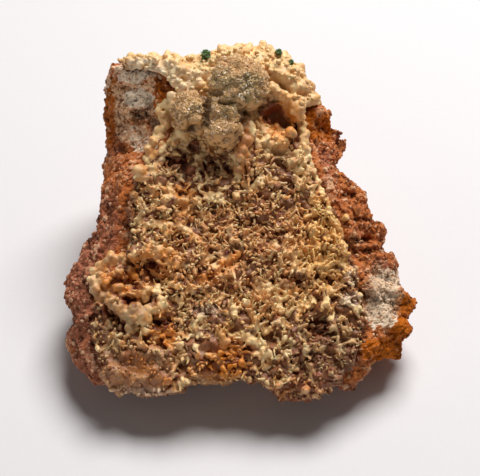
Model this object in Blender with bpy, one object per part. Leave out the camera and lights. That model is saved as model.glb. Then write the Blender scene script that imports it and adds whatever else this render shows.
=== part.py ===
"""A hand specimen of rusty gossan rock with a cream crystal crust, drusy nodules and malachite.

The rock stands on a flat broken base. Its crusted face leans back at about 30 degrees from the floor
and looks towards -Y. The crust, the nodules and the malachite grew on the rock, one after the other.
Sizes below are in millimetres. +X is to the right of the crusted face and +Z is up.
The origin is the middle of the specimen's footprint, on the surface that it stands on.
"""

import math

import bmesh
import bpy
import numpy as np
from mathutils import Vector, noise

MM = 0.001

# The outline plane
# The outline is drawn on a plane that leans back. Its u runs along +X, its v up the plane, and its w out of
# the plane, towards the front and up at this angle above the floor.
OUTLINE_RISE = math.radians(42.0)
ORIGIN_DEPTH = -3.0
ORIGIN_HEIGHT = 36.0

RIM = [
    (-33.5, 45), (-27, 46), (-16.5, 45.2), (-11, 46.2), (-4, 48.4), (2, 48), (9, 48.4), (12, 47.4),
    (16.5, 42), (20.5, 34.5), (22.5, 32), (22.5, 30), (24.5, 26.5), (30.5, 26.4), (34, 23), (30, 19.2),
    (28, 15.5), (32.5, 8), (38, 2), (41, -9), (41.5, -11.5), (44.5, -15.5), (45.5, -23), (46, -28),
    (45, -31), (37.5, -34.5), (33.5, -35), (30, -41), (24.5, -42.5), (19.5, -44.5), (13, -45.5), (9.5, -44),
    (6, -41.5), (2, -40.5), (-6, -40.5), (-10.5, -41), (-15.5, -43), (-20, -44.5), (-28.5, -44), (-35, -42),
    (-39.5, -39.5), (-44, -35), (-45.5, -32), (-45.5, -27), (-44, -24), (-46.5, -20.5), (-48, -16),
    (-47, -12.5), (-44, -9), (-45, -6.5), (-39.5, -2.5), (-37, 2), (-37.5, 5.5), (-37.5, 12), (-38.6, 19),
    (-38.8, 31), (-35.8, 40),
]  # fmt: skip
CRUST_EDGE = [
    (-34, 58), (-10, 60), (18, 58), (26, 32), (18, 30), (16, 24), (19, 19), (22.5, 12), (28, 3),
    (31.5, -8), (35, -19.5), (34, -29), (31, -37), (26, -44), (12, -52), (-16, -54), (-30, -52),
    (-37, -40), (-41.5, -28), (-39.5, -21), (-36, -16), (-32, -8), (-31.5, 5), (-30, 15.5), (-23.5, 20),
    (-20, 26), (-20.5, 33), (-20, 38), (-26, 40.5), (-34, 39.5),
]  # fmt: skip

# The face and the flanks
FACE_SLOPE = 0.325
FACE_BELLY = 3.0
BELLY_REACH = (38.0, 55.0)
BROW_RISE = 6.5
BROW_START = 24.0
BROW_END = 47.0
MOUND_HEIGHT = 4.0
MOUND_CENTRE = (-1.0, 31.0)
MOUND_RADIUS = 12.0
FLANK_SLOPE = 1.05
FLANK_STEP = 2.5
FLANK_STEP_WIDTH = 2.0
RIM_ROUNDING = 6.0
RIM_ALLOWANCE = 1.3
CRUST_ALLOWANCE = 0.2
RIM_CLIFF = 4.0
# The block at the top left is set back from the crust, the more the lower it is.
BLOCK_SIDE = (-14.0, -20.0)
BLOCK_FOOT = (5.0, 15.0)
BLOCK_TOP = 40.0
BLOCK_RECESS = 0.14
# Each shoulder is a flatter part of a flank: centre, reach along u and v, and how much of the slope it takes off.
SHOULDERS = [
    ((-29.0, 33.0), (9.0, 13.0), 0.85),
    ((41.0, -25.0), (8.0, 9.0), 0.75),
    ((-41.0, -17.0), (7.0, 8.0), 0.4),
]

# The back, the underside and the base
BACK_DEPTH = 47.0
BACK_LEAN = 0.1
BACK_TURN = 0.12
BACK_CORNER_TURN = 0.75
BACK_CORNER_DEPTH = 61.0
WALL_TAPER = 0.09
RIM_SHARPNESS = 0.35
RIM_SET_BACK = 3.5
WALL_START = 4.0
BASE_FRONT = -27.0
UNDERCUT_SLOPE = 0.42
BASE_TRIM = 1.5
RIM_BLEND = 2.5
BACK_BLEND = 5.0
CORNER_BLEND = 4.0
UNDERCUT_BLEND = 2.0

# The bare rock's roughness: size across and height of each kind of form
ROCK_LUMPS = (9.0, 1.5)
ROCK_EDGES = (5.0, 1.1)
ROCK_LEDGES = (8.0, 1.1)
ROCK_HILLS = (20.0, 2.4)

# The growths
CRUST_THICKNESS = 4.6
CRUST_EDGE_WIDTH = 3.2
CRUST_WRAP = 13.0
CRUST_FOOT = 0.3
WALL_DEPTH = 3.5
CRUST_DEPTH_UNDER_NODULES = 0.6
GROWTH_GAP = 0.5
LUMP_COUNT = 260
CRYSTAL_COUNT = 900
CRYSTAL_HEIGHT = 2.4
CRUST_SWELL = (7.0, 0.7)
RELIEF_BELOW = 1.4
SEED = 11

# How much of each finely shaped surface is kept as triangles
ROCK_SHARE = 0.09
CRUST_SHARE = 0.054
SEAT_SHARE = 0.03

# How the fine surfaces are found: the first step and the number of steps, and the sizes of their faces
MARCH_STEP = 8.0
MARCH_COUNT = 24
ROCK_FINENESS = 1.3
CRUST_FINENESS = 0.9
BLOCK_FINENESS = 0.65
NODULE_SHARE = 0.22

# Hollows in the crust: centre on the outline plane, radius and depth.
HOLLOWS = [
    ((10.5, 28.0), 4.8, 4.2),
    ((-22.5, -12.5), 3.6, 3.2),
    ((-28.5, -14.5), 3.0, 3.2),
    ((-20.5, -25.0), 2.0, 2.4),
    ((-17.5, 24.0), 1.8, 2.0),
]

# Round lumps of the crust: centre on the outline plane, radius and how far they stand out.
ROUND_LUMPS = [
    ((13.2, 39.8), 3.0, 2.2), ((17.2, 37.0), 2.6, 2.2), ((18.8, 33.0), 2.4, 2.0), ((9.3, 41.5), 2.8, 1.8),
    ((-19.5, 37.5), 3.4, 1.8), ((-17.0, 42.5), 2.6, 2.2), ((-24.4, 12.5), 2.8, 2.4), ((-26.0, -23.9), 2.8, 2.6),
    ((-37.5, -20.7), 2.6, 2.2), ((-20.6, -20.5), 2.2, 2.2), ((-25.7, -18.4), 2.0, 2.2), ((-33.0, -12.0), 2.4, 2.4),
    ((9.8, 24.5), 2.0, 1.6), ((13.4, 23.6), 1.8, 1.6),
]  # fmt: skip
# Ridges of the crust: two ends on the outline plane, half width and how far they stand out.
RIDGES = [
    ((1.8, 26.5), (3.2, 13.5), 2.2, 3.0),
    ((13.8, 34.0), (16.6, 28.5), 1.8, 2.4),
    ((16.6, 28.5), (17.0, 21.0), 1.6, 2.2),
    ((-32.5, -8.5), (-24.0, -6.5), 1.8, 2.2),
    ((-24.0, -6.5), (-17.0, -9.5), 1.7, 2.0),
    ((-33.0, -17.0), (-30.0, -23.0), 1.7, 2.2),
]

# Nodules: centre on the outline plane, height of the centre over the crust, and radius.
NODULES = [
    ((-0.5, 36.5), 1.4, 7.6),
    ((-12.0, 29.5), 1.6, 5.8),
    ((-3.6, 30.5), 3.0, 5.2),
    ((-4.2, 25.0), 3.4, 5.0),
]
# Malachite: centre on the outline plane and radius of the tuft.
TUFTS = {
    "malachite_top": ((-9.2, 45.4), 1.9),
    "malachite_right": ((10.4, 46.0), 1.3),
    "malachite_edge": ((13.6, 43.4), 1.1),
}

COLOURS = {
    "host_rock": (0.34, 0.13, 0.05),
    "crystal_crust": (0.62, 0.46, 0.28),
    "drusy_nodules": (0.45, 0.41, 0.27),
    "malachite": (0.03, 0.16, 0.07),
}
ROUGHNESS = {"host_rock": 0.9, "crystal_crust": 0.55, "drusy_nodules": 0.4, "malachite": 0.45}

U_AXIS = np.array((1.0, 0.0, 0.0))
V_AXIS = np.array((0.0, math.sin(OUTLINE_RISE), math.cos(OUTLINE_RISE)))
W_AXIS = np.array((0.0, -math.cos(OUTLINE_RISE), math.sin(OUTLINE_RISE)))
PLANE_ORIGIN = np.array((0.0, ORIGIN_DEPTH, ORIGIN_HEIGHT))
HEART = np.array((0.0, 6.0, 24.0))


def smooth_step(low, high, value):
    """0 below low, 1 above high, and a soft S between them."""
    t = np.clip((value - low) / (high - low), 0.0, 1.0)
    return t * t * (3.0 - 2.0 * t)


def smooth_max(a, b, blend):
    """The larger of two fields, with the edge between them rounded over the length blend."""
    share = np.clip(0.5 + 0.5 * (a - b) / blend, 0.0, 1.0)
    return b + (a - b) * share + blend * share * (1.0 - share)


def inside_distance(points, outline):
    """How far each (u, v) point lies inside a closed outline, in millimetres. It is negative outside."""
    corners = np.array(outline, float)
    nearest = np.full(len(points), 1e9)
    inside = np.zeros(len(points), bool)
    for start, end in zip(corners, np.roll(corners, -1, axis=0)):
        edge = end - start
        offset = points - start
        along = np.clip(offset @ edge / (edge @ edge), 0.0, 1.0)
        nearest = np.minimum(nearest, np.linalg.norm(offset - along[:, None] * edge, axis=1))
        crosses = (points[:, 1] < start[1]) != (points[:, 1] < end[1])
        if edge[1]:
            reach = start[0] + edge[0] * (points[:, 1] - start[1]) / edge[1]
            inside ^= crosses & (points[:, 0] < reach)
    return np.where(inside, nearest, -nearest)


def on_outline_plane(points):
    """Millimetre positions of the specimen as (u, v) on the outline plane and w out of it."""
    offset = points - PLANE_ORIGIN
    return np.stack([offset @ U_AXIS, offset @ V_AXIS], axis=1), offset @ W_AXIS


def spread(uv, centre, reach):
    """A soft bell, 1 at its centre."""
    return np.exp(-(((uv[:, 0] - centre[0]) / reach[0]) ** 2) - ((uv[:, 1] - centre[1]) / reach[1]) ** 2)


def front_height(uv, rim_distance):
    """Height of the specimen's front over the outline plane: face, mound, flanks and rounded rim."""
    belly = FACE_BELLY * (1.0 - (uv[:, 0] / BELLY_REACH[0]) ** 2 - (uv[:, 1] / BELLY_REACH[1]) ** 2)
    brow = BROW_RISE * smooth_step(BROW_START, BROW_END, uv[:, 1])
    mound = MOUND_HEIGHT * spread(uv, MOUND_CENTRE, (MOUND_RADIUS, MOUND_RADIUS))
    beyond_crust = np.maximum(-inside_distance(uv, CRUST_EDGE), 0.0)
    slope = np.full(len(uv), FLANK_SLOPE)
    for centre, reach, eased in SHOULDERS:
        slope *= 1.0 - eased * spread(uv, centre, reach)
    flank = slope * beyond_crust + FLANK_STEP * smooth_step(0.0, FLANK_STEP_WIDTH, beyond_crust)
    block = smooth_step(*BLOCK_SIDE, uv[:, 0]) * smooth_step(*BLOCK_FOOT, uv[:, 1])
    block *= smooth_step(0.0, FLANK_STEP_WIDTH, beyond_crust)
    recess = BLOCK_RECESS * block * np.maximum(BLOCK_TOP - uv[:, 1], 0.0)
    near_rim = np.clip(1.0 - rim_distance / RIM_ROUNDING, 0.0, 1.0)
    rounding = RIM_ROUNDING * (1.0 - np.sqrt(np.clip(1.0 - near_rim**2, 0.0, 1.0)))
    beyond_rim = RIM_CLIFF * np.maximum(-rim_distance, 0.0)
    return -FACE_SLOPE * uv[:, 1] + belly + brow + mound - flank - recess - rounding - beyond_rim


def specimen_field(points):
    """Negative inside the whole specimen, crust included, and close to a distance in millimetres."""
    uv, w = on_outline_plane(points)
    crusted = smooth_step(-1.0, 2.0, inside_distance(uv, CRUST_EDGE))
    allowance = RIM_ALLOWANCE + (CRUST_ALLOWANCE - RIM_ALLOWANCE) * crusted
    rim_distance = inside_distance(uv, RIM) + allowance
    front = math.cos(math.atan(FACE_SLOPE)) * (w - front_height(uv, rim_distance))
    behind_rim = np.maximum(-FACE_SLOPE * uv[:, 1] - RIM_ROUNDING - WALL_START - w, 0.0)
    drawn_in = RIM_SET_BACK * (1.0 - np.exp(-RIM_SHARPNESS * behind_rim / RIM_SET_BACK))
    wall = drawn_in + WALL_TAPER * behind_rim - rim_distance
    x, y, z = points.T
    back = y - BACK_DEPTH + BACK_LEAN * (z - HEART[2]) + BACK_TURN * x
    corner = BACK_CORNER_TURN * x + y - BACK_CORNER_DEPTH
    under_front = UNDERCUT_SLOPE * (BASE_FRONT - y) - z
    field = smooth_max(front, wall, RIM_BLEND)
    field = smooth_max(field, back, BACK_BLEND)
    field = smooth_max(field, corner, CORNER_BLEND)
    field = smooth_max(field, under_front, UNDERCUT_BLEND)
    return np.maximum(field, -z - BASE_TRIM)


def crust_reach(points):
    """How far each point lies inside the border of the crust, in millimetres. It is negative on bare rock."""
    uv, w = on_outline_plane(points)
    u, v = uv.T
    ragged_side = 0.6 * np.sin(1.1 * u + 0.7 * v) + 0.5 * np.sin(1.7 * v - 0.6 * u + 2.0)
    ragged_back = 2.4 * np.sin(0.29 * u + 0.5) + 1.5 * np.sin(0.83 * u + 0.2 * v + 2.0) + 0.8 * np.sin(1.9 * u)
    depth = -FACE_SLOPE * v - w
    return np.minimum(inside_distance(uv, CRUST_EDGE) + ragged_side, CRUST_WRAP - depth - ragged_back)


def crust_cover(points):
    """1 where the crust has its full thickness, 0 where the rock is bare."""
    return smooth_step(0.0, CRUST_EDGE_WIDTH, crust_reach(points))


def rock_field(points):
    """The specimen without its crust."""
    return specimen_field(points) + CRUST_THICKNESS * crust_cover(points)


def surface_along(directions, field):
    """Distance from the heart of the rock to the surface of a field, along each direction, in millimetres."""
    reach = np.zeros(len(directions))
    step = np.full(len(directions), MARCH_STEP)
    for _ in range(MARCH_COUNT):
        outside = field(HEART + (reach + step)[:, None] * directions) > 0.0
        reach = np.where(outside, reach, reach + step)
        step = np.where(outside, step * 0.5, step)
    return reach


def grain(points, size, seed):
    """Smooth noise with lumps of about this size in millimetres, from -1 to 1."""
    shift = Vector((seed * 17.3, seed * 5.1, seed * 9.7))
    return np.array([noise.noise(Vector(p) / size + shift) for p in points])


def icosphere(level):
    """A ball of even triangles, one unit in radius."""
    sphere = bmesh.new()
    bmesh.ops.create_icosphere(sphere, subdivisions=level, radius=1.0)
    return sphere


def directions_of(sphere):
    """The unit directions of a ball's vertices."""
    found = np.array([v.co for v in sphere.verts], float)
    return found / np.linalg.norm(found, axis=1)[:, None]


def place(sphere, points):
    """Moves the vertices of a mesh to these millimetre positions, in metres."""
    for vertex, point in zip(sphere.verts, points):
        vertex.co = Vector(point) * MM


def new_object(name, mesh_source):
    """A Blender object from a bmesh, with its faces pointing out."""
    bmesh.ops.recalc_face_normals(mesh_source, faces=mesh_source.faces)
    mesh = bpy.data.meshes.new(name)
    mesh_source.to_mesh(mesh)
    mesh_source.free()
    obj = bpy.data.objects.new(name, mesh)
    bpy.context.scene.collection.objects.link(obj)
    return obj


def place_at_footprint(objects):
    """Moves everything together, so that the origin is the middle of the specimen's box, at its base."""
    bpy.context.view_layer.update()
    seen = bpy.context.evaluated_depsgraph_get()
    corners = [
        Vector(corner) for obj in objects if not obj.hide_render for corner in obj.evaluated_get(seen).bound_box
    ]
    low = [min(corner[axis] for corner in corners) for axis in range(3)]
    high = [max(corner[axis] for corner in corners) for axis in range(3)]
    for obj in objects:
        obj.location = (-(low[0] + high[0]) / 2.0, -(low[1] + high[1]) / 2.0, -low[2])


def finish_material(obj, kind):
    """A plain material of the mineral's own colour."""
    material = bpy.data.materials.get(kind) or bpy.data.materials.new(kind)
    material.use_nodes = True
    shader = material.node_tree.nodes["Principled BSDF"]
    shader.inputs["Base Color"].default_value = (*COLOURS[kind], 1.0)
    shader.inputs["Roughness"].default_value = ROUGHNESS[kind]
    shader.inputs["Metallic"].default_value = 0.0
    obj.data.materials.append(material)


def reworked(mesh_source, kind, **settings):
    """The mesh that a modifier makes of another one, in triangles."""
    obj = new_object("reworked", mesh_source)
    add_modifier(obj, kind, **settings)
    result = bmesh.new()
    result.from_object(obj, bpy.context.evaluated_depsgraph_get())
    bpy.data.objects.remove(obj)
    bmesh.ops.triangulate(result, faces=result.faces)
    return result


def positions(mesh_source):
    """The vertex positions of a mesh in millimetres."""
    mesh_source.verts.ensure_lookup_table()
    return np.array([v.co for v in mesh_source.verts], float) / MM


def solid_of(field, size):
    """A closed mesh on the surface of a field, with faces of about one size in millimetres."""
    sphere = icosphere(6)
    directions = directions_of(sphere)
    place(sphere, HEART + surface_along(directions, field)[:, None] * directions)
    return reworked(sphere, "REMESH", mode="VOXEL", voxel_size=size * MM)


def outward(points, step):
    """Unit vectors that point out of the specimen, the smoother the longer the step in millimetres."""
    slopes = [
        specimen_field(points + step * axis) - specimen_field(points - step * axis) for axis in np.identity(3)
    ]
    slopes = np.stack(slopes, axis=1)
    return slopes / np.maximum(np.linalg.norm(slopes, axis=1), 1e-9)[:, None]


def roughened(points, normals):
    """Lumps, broken edges, ledges and hills on the bare rock, none under the crust and none on the base."""
    uv, _ = on_outline_plane(points)
    bare = smooth_step(0.5, 4.0, -crust_reach(points))
    off_base = smooth_step(0.5, 6.0, points[:, 2])
    right_flank = smooth_step(14.0, 22.0, uv[:, 0])
    behind = smooth_step(10.0, 20.0, points[:, 1])
    lumps = ROCK_LUMPS[1] * grain(points, ROCK_LUMPS[0], 1)
    edges = ROCK_EDGES[1] * (0.5 - 2.0 * np.abs(grain(points, ROCK_EDGES[0], 2)))
    up_flank = uv[:, 1] + 0.5 * uv[:, 0] + 2.0 * grain(points, 12.0, 3)
    ledges = ROCK_LEDGES[1] * right_flank * np.sin(2.0 * math.pi * up_flank / ROCK_LEDGES[0])
    hills = ROCK_HILLS[1] * behind * (grain(points, ROCK_HILLS[0], 4) - 0.2)
    height = bare * off_base * (lumps + edges + ledges + hills)
    return points + height[:, None] * normals


def floor_block():
    """A block under the specimen. It cuts the base flat."""
    width, depth = 200.0 * MM, 20.0 * MM
    block = bmesh.new()
    bmesh.ops.create_cube(block, size=1.0)
    bmesh.ops.scale(block, vec=(width, width, depth), verts=block.verts)
    bmesh.ops.translate(block, vec=(0.0, 0.0, -depth / 2.0), verts=block.verts)
    return cutter(new_object("floor_block", block))


def build_rock(floor):
    """The rock: a smooth wedge with lumps, ledges and pits where it's bare, and a flat base."""
    block = solid_of(rock_field, ROCK_FINENESS)
    points = positions(block)
    place(block, roughened(points, outward(points, 1.5)))
    obj = new_object("host_rock", block)
    finish_material(obj, "host_rock")
    add_modifier(obj, "DECIMATE", ratio=ROCK_SHARE, use_collapse_triangulate=True)
    cut(obj, floor)
    return obj


def rock_room(rock):
    """The rock a gap further out, which cuts the crust's inner side."""
    room = bmesh.new()
    room.from_object(rock, bpy.context.evaluated_depsgraph_get())
    bmesh.ops.triangulate(room, faces=room.faces)
    points = positions(room)
    place(room, points + GROWTH_GAP * outward(points, 0.5))
    return cutter(new_object("rock_room", room))


def near_growths(uv, margin):
    """1 beside and under the nodules and the malachite, where the crust stays smooth."""
    cover = np.zeros(len(uv))
    seats = [(centre, radius) for centre, _, radius in NODULES] + list(TUFTS.values())
    for centre, radius in seats:
        distance = np.linalg.norm(uv - np.array(centre), axis=1)
        cover = np.maximum(cover, 1.0 - smooth_step(radius, radius + margin, distance))
    return cover


def bumps(points, chance):
    """Round lumps of two to three millimetres, scattered over the crust."""
    height = np.zeros(len(points))
    centres = points[chance.integers(0, len(points), LUMP_COUNT)]
    for centre, radius in zip(centres, chance.uniform(1.4, 2.8, LUMP_COUNT)):
        squared = ((points - centre) ** 2).sum(axis=1)
        height = np.maximum(height, 0.7 * np.sqrt(np.maximum(radius**2 - squared, 0.0)))
    return height


def crystals(points, normals, chance):
    """Four-sided crystal tips of two to three millimetres, turned at random."""
    height = np.zeros(len(points))
    picked = chance.integers(0, len(points), CRYSTAL_COUNT)
    turns = chance.normal(size=(CRYSTAL_COUNT, 3))
    widths = chance.uniform(1.0, 1.7, CRYSTAL_COUNT)
    for number, turn, width in zip(picked, turns, widths):
        side = np.cross(normals[number], turn)
        side /= np.linalg.norm(side)
        axes = np.stack([side, np.cross(normals[number], side) / 1.5, normals[number] / 1.5], axis=1)
        farthest = np.abs((points - points[number]) @ axes).max(axis=1) / width
        height = np.maximum(height, CRYSTAL_HEIGHT * (1.0 - farthest))
    return height


def crust_relief(points, normals):
    """How far lumps, crystals and hollows move the crust's outer face, in millimetres."""
    chance = np.random.default_rng(SEED)
    uv, _ = on_outline_plane(points)
    height = 0.6 * bumps(points, chance) + crystals(points, normals, chance)
    height += CRUST_SWELL[1] * grain(points, CRUST_SWELL[0], 5)
    for centre, radius, rise in ROUND_LUMPS:
        squared = ((uv - np.array(centre)) ** 2).sum(axis=1) / radius**2
        height = np.maximum(height, (rise + RELIEF_BELOW) * np.sqrt(np.maximum(1.0 - squared, 0.0)))
    for start, end, width, rise in RIDGES:
        run = np.array(end) - start
        along = np.clip((uv - start) @ run / (run @ run), 0.0, 1.0)
        distance = np.linalg.norm(uv - start - along[:, None] * run, axis=1) / width
        height = np.maximum(height, (rise + RELIEF_BELOW) * np.sqrt(np.maximum(1.0 - distance**2, 0.0)))
    height = height - RELIEF_BELOW
    seat = near_growths(uv, 1.0)
    height = height * (1.0 - seat) - CRUST_DEPTH_UNDER_NODULES * seat
    for centre, radius, depth in HOLLOWS:
        distance = np.linalg.norm(uv - np.array(centre), axis=1)
        bowl = 1.0 - smooth_step(0.3 * radius, 1.1 * radius, distance)
        height = height * (1.0 - bowl) - depth * bowl
    height *= smooth_step(0.6, 3.0, crust_reach(points))
    return np.maximum(height, 0.8 - CRUST_THICKNESS * crust_cover(points))


def growth_block(envelope, relief, share):
    """A solid from the rock's heart out to the crust's outer face, with or without its lumps and crystals."""
    block = envelope.copy()
    points = positions(block)
    covered = crust_cover(points) > CRUST_FOOT
    if relief:
        normals = outward(points, 3.0)
        crusted = points[covered]
        points[covered] = crusted + crust_relief(crusted, normals[covered])[:, None] * normals[covered]
    place(block, points)
    dropped = [v for v, keep in zip(block.verts, covered) if not keep]
    bmesh.ops.delete(block, geom=dropped, context="VERTS")
    trim_notches(block)
    close_to_heart(block)
    block = reworked(block, "REMESH", mode="VOXEL", voxel_size=BLOCK_FINENESS * MM)
    return reworked(block, "DECIMATE", ratio=share, use_collapse_triangulate=True)


def keep_largest(mesh_source):
    """Deletes all but the largest connected set of faces."""
    mesh_source.faces.ensure_lookup_table()
    unseen = set(mesh_source.faces)
    groups = []
    while unseen:
        group, fringe = set(), [unseen.pop()]
        while fringe:
            face = fringe.pop()
            group.add(face)
            for edge in face.edges:
                for other in edge.link_faces:
                    if other in unseen:
                        unseen.discard(other)
                        fringe.append(other)
        groups.append(group)
    groups.sort(key=len)
    spare = [face for group in groups[:-1] for face in group]
    bmesh.ops.delete(mesh_source, geom=spare, context="FACES")


def trim_notches(mesh_source):
    """Removes faces that hang on by one edge or one corner, so that the border is one clean loop."""
    for _ in range(12):
        loose = [f for f in mesh_source.faces if sum(e.is_boundary for e in f.edges) >= 2]
        pinched = [v for v in mesh_source.verts if sum(e.is_boundary for e in v.link_edges) > 2]
        if not loose and not pinched:
            break
        faces = set(loose) | {f for v in pinched for f in v.link_faces}
        bmesh.ops.delete(mesh_source, geom=list(faces), context="FACES")
        bare = [v for v in mesh_source.verts if not v.link_faces]
        bmesh.ops.delete(mesh_source, geom=bare, context="VERTS")
    keep_largest(mesh_source)


def close_to_heart(mesh_source):
    """Closes an open patch with walls straight into the rock and a fan of faces from there to its heart."""
    border = [e for e in mesh_source.edges if e.is_boundary]
    rim = list(dict.fromkeys(v for e in border for v in e.verts))
    points = np.array([v.co for v in rim], float) / MM
    inner = points - WALL_DEPTH * outward(points, 3.0)
    below = {v: mesh_source.verts.new(Vector(p) * MM) for v, p in zip(rim, inner)}
    heart = mesh_source.verts.new(Vector(HEART) * MM)
    for edge in border:
        start, end = edge.verts
        mesh_source.faces.new((start, end, below[end]))
        mesh_source.faces.new((start, below[end], below[start]))
        mesh_source.faces.new((below[start], below[end], heart))


def add_modifier(obj, kind, **settings):
    modifier = obj.modifiers.new(kind.lower(), kind)
    for name, value in settings.items():
        setattr(modifier, name, value)
    return modifier


def cutter(obj):
    """Marks an object as a tool that cuts others and isn't a piece of the specimen."""
    obj.hide_render = True
    obj.display_type = "WIRE"
    return obj


def cut(obj, tool):
    add_modifier(obj, "BOOLEAN", operation="DIFFERENCE", solver="EXACT", object=tool)


def build_crust(envelope, room):
    """The crust: its outer face with lumps and crystals, less the rock with a small gap."""
    obj = new_object("crystal_crust", growth_block(envelope, relief=True, share=CRUST_SHARE))
    finish_material(obj, "crystal_crust")
    cut(obj, room)
    return obj


def on_face(uv, height):
    """The millimetre position over a point of the specimen's front, straight out of the outline plane."""
    base = PLANE_ORIGIN + uv[0] * U_AXIS + uv[1] * V_AXIS
    heights = np.arange(40.0, -40.0, -0.05)
    field = specimen_field(base + heights[:, None] * W_AXIS)
    return base + (heights[np.argmax(field < 0.0)] + height) * W_AXIS


def build_nodules(seat):
    """Round nodules grown into each other, with a lumpy druse on them."""
    parts = []
    for number, (centre, height, radius) in enumerate(NODULES):
        ball = icosphere(4)
        directions = directions_of(ball)
        rough = 1.0 + 0.05 * grain(directions * radius, 2.2, 20 + number)
        place(ball, on_face(centre, height) + radius * rough[:, None] * directions)
        parts.append(new_object(f"nodule_{number}", ball))
    cluster = parts[0]
    cluster.name = "drusy_nodules"
    finish_material(cluster, "drusy_nodules")
    for part in parts[1:]:
        cutter(part)
        add_modifier(cluster, "BOOLEAN", operation="UNION", solver="EXACT", object=part)
    add_modifier(cluster, "DECIMATE", ratio=NODULE_SHARE, use_collapse_triangulate=True)
    cut(cluster, seat)
    return cluster


def build_tuft(name, centre, radius, number, seat):
    """A small spiky tuft of malachite crystals."""
    ball = icosphere(2)
    directions = directions_of(ball)
    spiky = 1.0 + 0.35 * grain(directions * 3.0, 1.4, 40 + number)
    place(ball, on_face(centre, 0.55 * radius) + radius * spiky[:, None] * directions)
    obj = new_object(name, ball)
    finish_material(obj, "malachite")
    cut(obj, seat)
    return obj


def main():
    for old in list(bpy.data.objects):
        bpy.data.objects.remove(old)
    rock = build_rock(floor_block())
    envelope = solid_of(specimen_field, CRUST_FINENESS)
    build_crust(envelope, rock_room(rock))
    seat = cutter(new_object("crust_room", growth_block(envelope, relief=False, share=SEAT_SHARE)))
    envelope.free()
    build_nodules(seat)
    for number, (name, (centre, radius)) in enumerate(TUFTS.items()):
        build_tuft(name, centre, radius, number, seat)
    place_at_footprint(bpy.data.objects)


main()
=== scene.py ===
"""The looks of a hand specimen: gossan rock with a cream crystal crust, drusy nodules and malachite.

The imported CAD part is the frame. Each growth of the specimen is a piece here, made over the solid it
replaces. Places on the face are given on the outline plane of the CAD part, as the camera sees them, in
millimetres: u to the right and v up the plane.
"""

import itertools
import math
from contextlib import contextmanager

import bpy
import numpy as np
from bpy.props import FloatProperty, FloatVectorProperty, IntProperty, PointerProperty
from mathutils import Matrix, Vector
from mathutils.bvhtree import BVHTree


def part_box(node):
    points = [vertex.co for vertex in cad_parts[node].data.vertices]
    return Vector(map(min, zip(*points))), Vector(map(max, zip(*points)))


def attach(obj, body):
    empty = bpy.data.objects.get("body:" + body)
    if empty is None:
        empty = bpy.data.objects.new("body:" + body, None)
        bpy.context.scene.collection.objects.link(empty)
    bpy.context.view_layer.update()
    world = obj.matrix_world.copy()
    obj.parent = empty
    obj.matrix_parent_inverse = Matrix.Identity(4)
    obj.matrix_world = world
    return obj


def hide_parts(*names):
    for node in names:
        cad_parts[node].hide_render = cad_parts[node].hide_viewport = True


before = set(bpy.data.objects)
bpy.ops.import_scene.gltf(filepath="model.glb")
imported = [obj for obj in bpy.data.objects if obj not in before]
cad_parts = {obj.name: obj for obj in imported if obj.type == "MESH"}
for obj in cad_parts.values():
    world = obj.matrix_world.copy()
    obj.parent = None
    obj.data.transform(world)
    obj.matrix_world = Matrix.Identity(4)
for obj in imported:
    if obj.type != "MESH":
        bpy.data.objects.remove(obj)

bl_info = {
    "name": "Crusted Gossan Specimen",
    "version": (1, 0, 0),
    "blender": (4, 5, 0),
    "location": "3D View > Sidebar > Specimen",
    "description": "Builds the rock, the crystal crust, the drusy nodules and the malachite of a hand specimen",
    "category": "Object",
}

MM = 0.001

# The outline plane of the CAD part, in the frame's place, and the camera that looks straight at it
PLANE_RISE = math.radians(42.0)
PLANE_ORIGIN = np.array((0.6043, -7.7514, 36.0)) * MM
PLANE_RIGHT = np.array((1.0, 0.0, 0.0))
PLANE_UP = np.array((0.0, math.sin(PLANE_RISE), math.cos(PLANE_RISE)))
PLANE_OUT = np.array((0.0, -math.cos(PLANE_RISE), math.sin(PLANE_RISE)))
CAMERA_DISTANCE = 400.0 * MM
CAMERA_LENS = 114.9
CAMERA_SENSOR = 36.0
CAMERA_SHIFT = -0.0271
# A point deep in the specimen: what faces away from it is outside
HEART = np.array((0.6043, 1.2486, 24.0)) * MM

# The stage, in metres: the floor's side, what the lamps aim at, and each lamp's colour, diameter and place
FLOOR_SIZE = 6.0
LAMP_AIM = Vector((0.0, -0.01, 0.03))
LAMPS = {
    "softbox": ((1.0, 0.985, 0.975), 0.52, (0.18, 0.34, 0.79)),
    "reflector": ((1.0, 0.99, 0.98), 0.4, (-0.36, -0.5, 0.16)),
}
WORLD_COLOUR = "#f4f6fa"

# Seeds of the random draws
ROCK_DRAWS, CRUST_DRAWS, NODULE_DRAWS, MALACHITE_DRAWS = 101, 202, 303, 404
# Seeds of the noise at the edges of the colours' patches. Each further patch list takes the next but one.
ROCK_EDGES, CRUST_EDGES, NODULE_EDGES = 21, 1, 51
TONE_SEED = 61
# Odd numbers that scramble a place and a seed into noise, and the bits that are kept
PLACE_FACTORS = (73856093, 19349663, 83492791)
SEED_FACTOR = 2654435761
SCRAMBLES = ((15, 2246822519), (13, 3266489917))
KEPT_BITS = 0x7FFFFFFF

MASK_STEPS = 20
KNOBS_IN_BULB = 6
# Distance between the bulbs of a ridge, and how far they stray from it, as shares of their radius
BEAD_STEP, BEAD_STRAY = 0.45, 0.12
# Height over the ground, in mm, at which the fused crystals have their tips' colour. Below it the dark ground
# shows, partly painted shade at their roots
TIP_HEIGHT = 1.5
# Sizes in mm of the noise by which the patches' edges wander, and where a patch starts to fade and ends, as
# shares of its half width
EDGE_NOISE = (2.6, 0.9)
EDGE_FADE = (0.7, 1.2)

# fmt: off
# Patches of the face: u, v, half width and half height, in mm, and strength
# Round cream lumps
LUMPY_PATCHES = [
    (0, 39, 42, 17.5, 1), (-12, 24, 8, 5, 1), (12, 26, 9, 9, 1), (1, 20, 2.4, 7, 1), (17, 18, 2.4, 6, 0.9),
]
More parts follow.
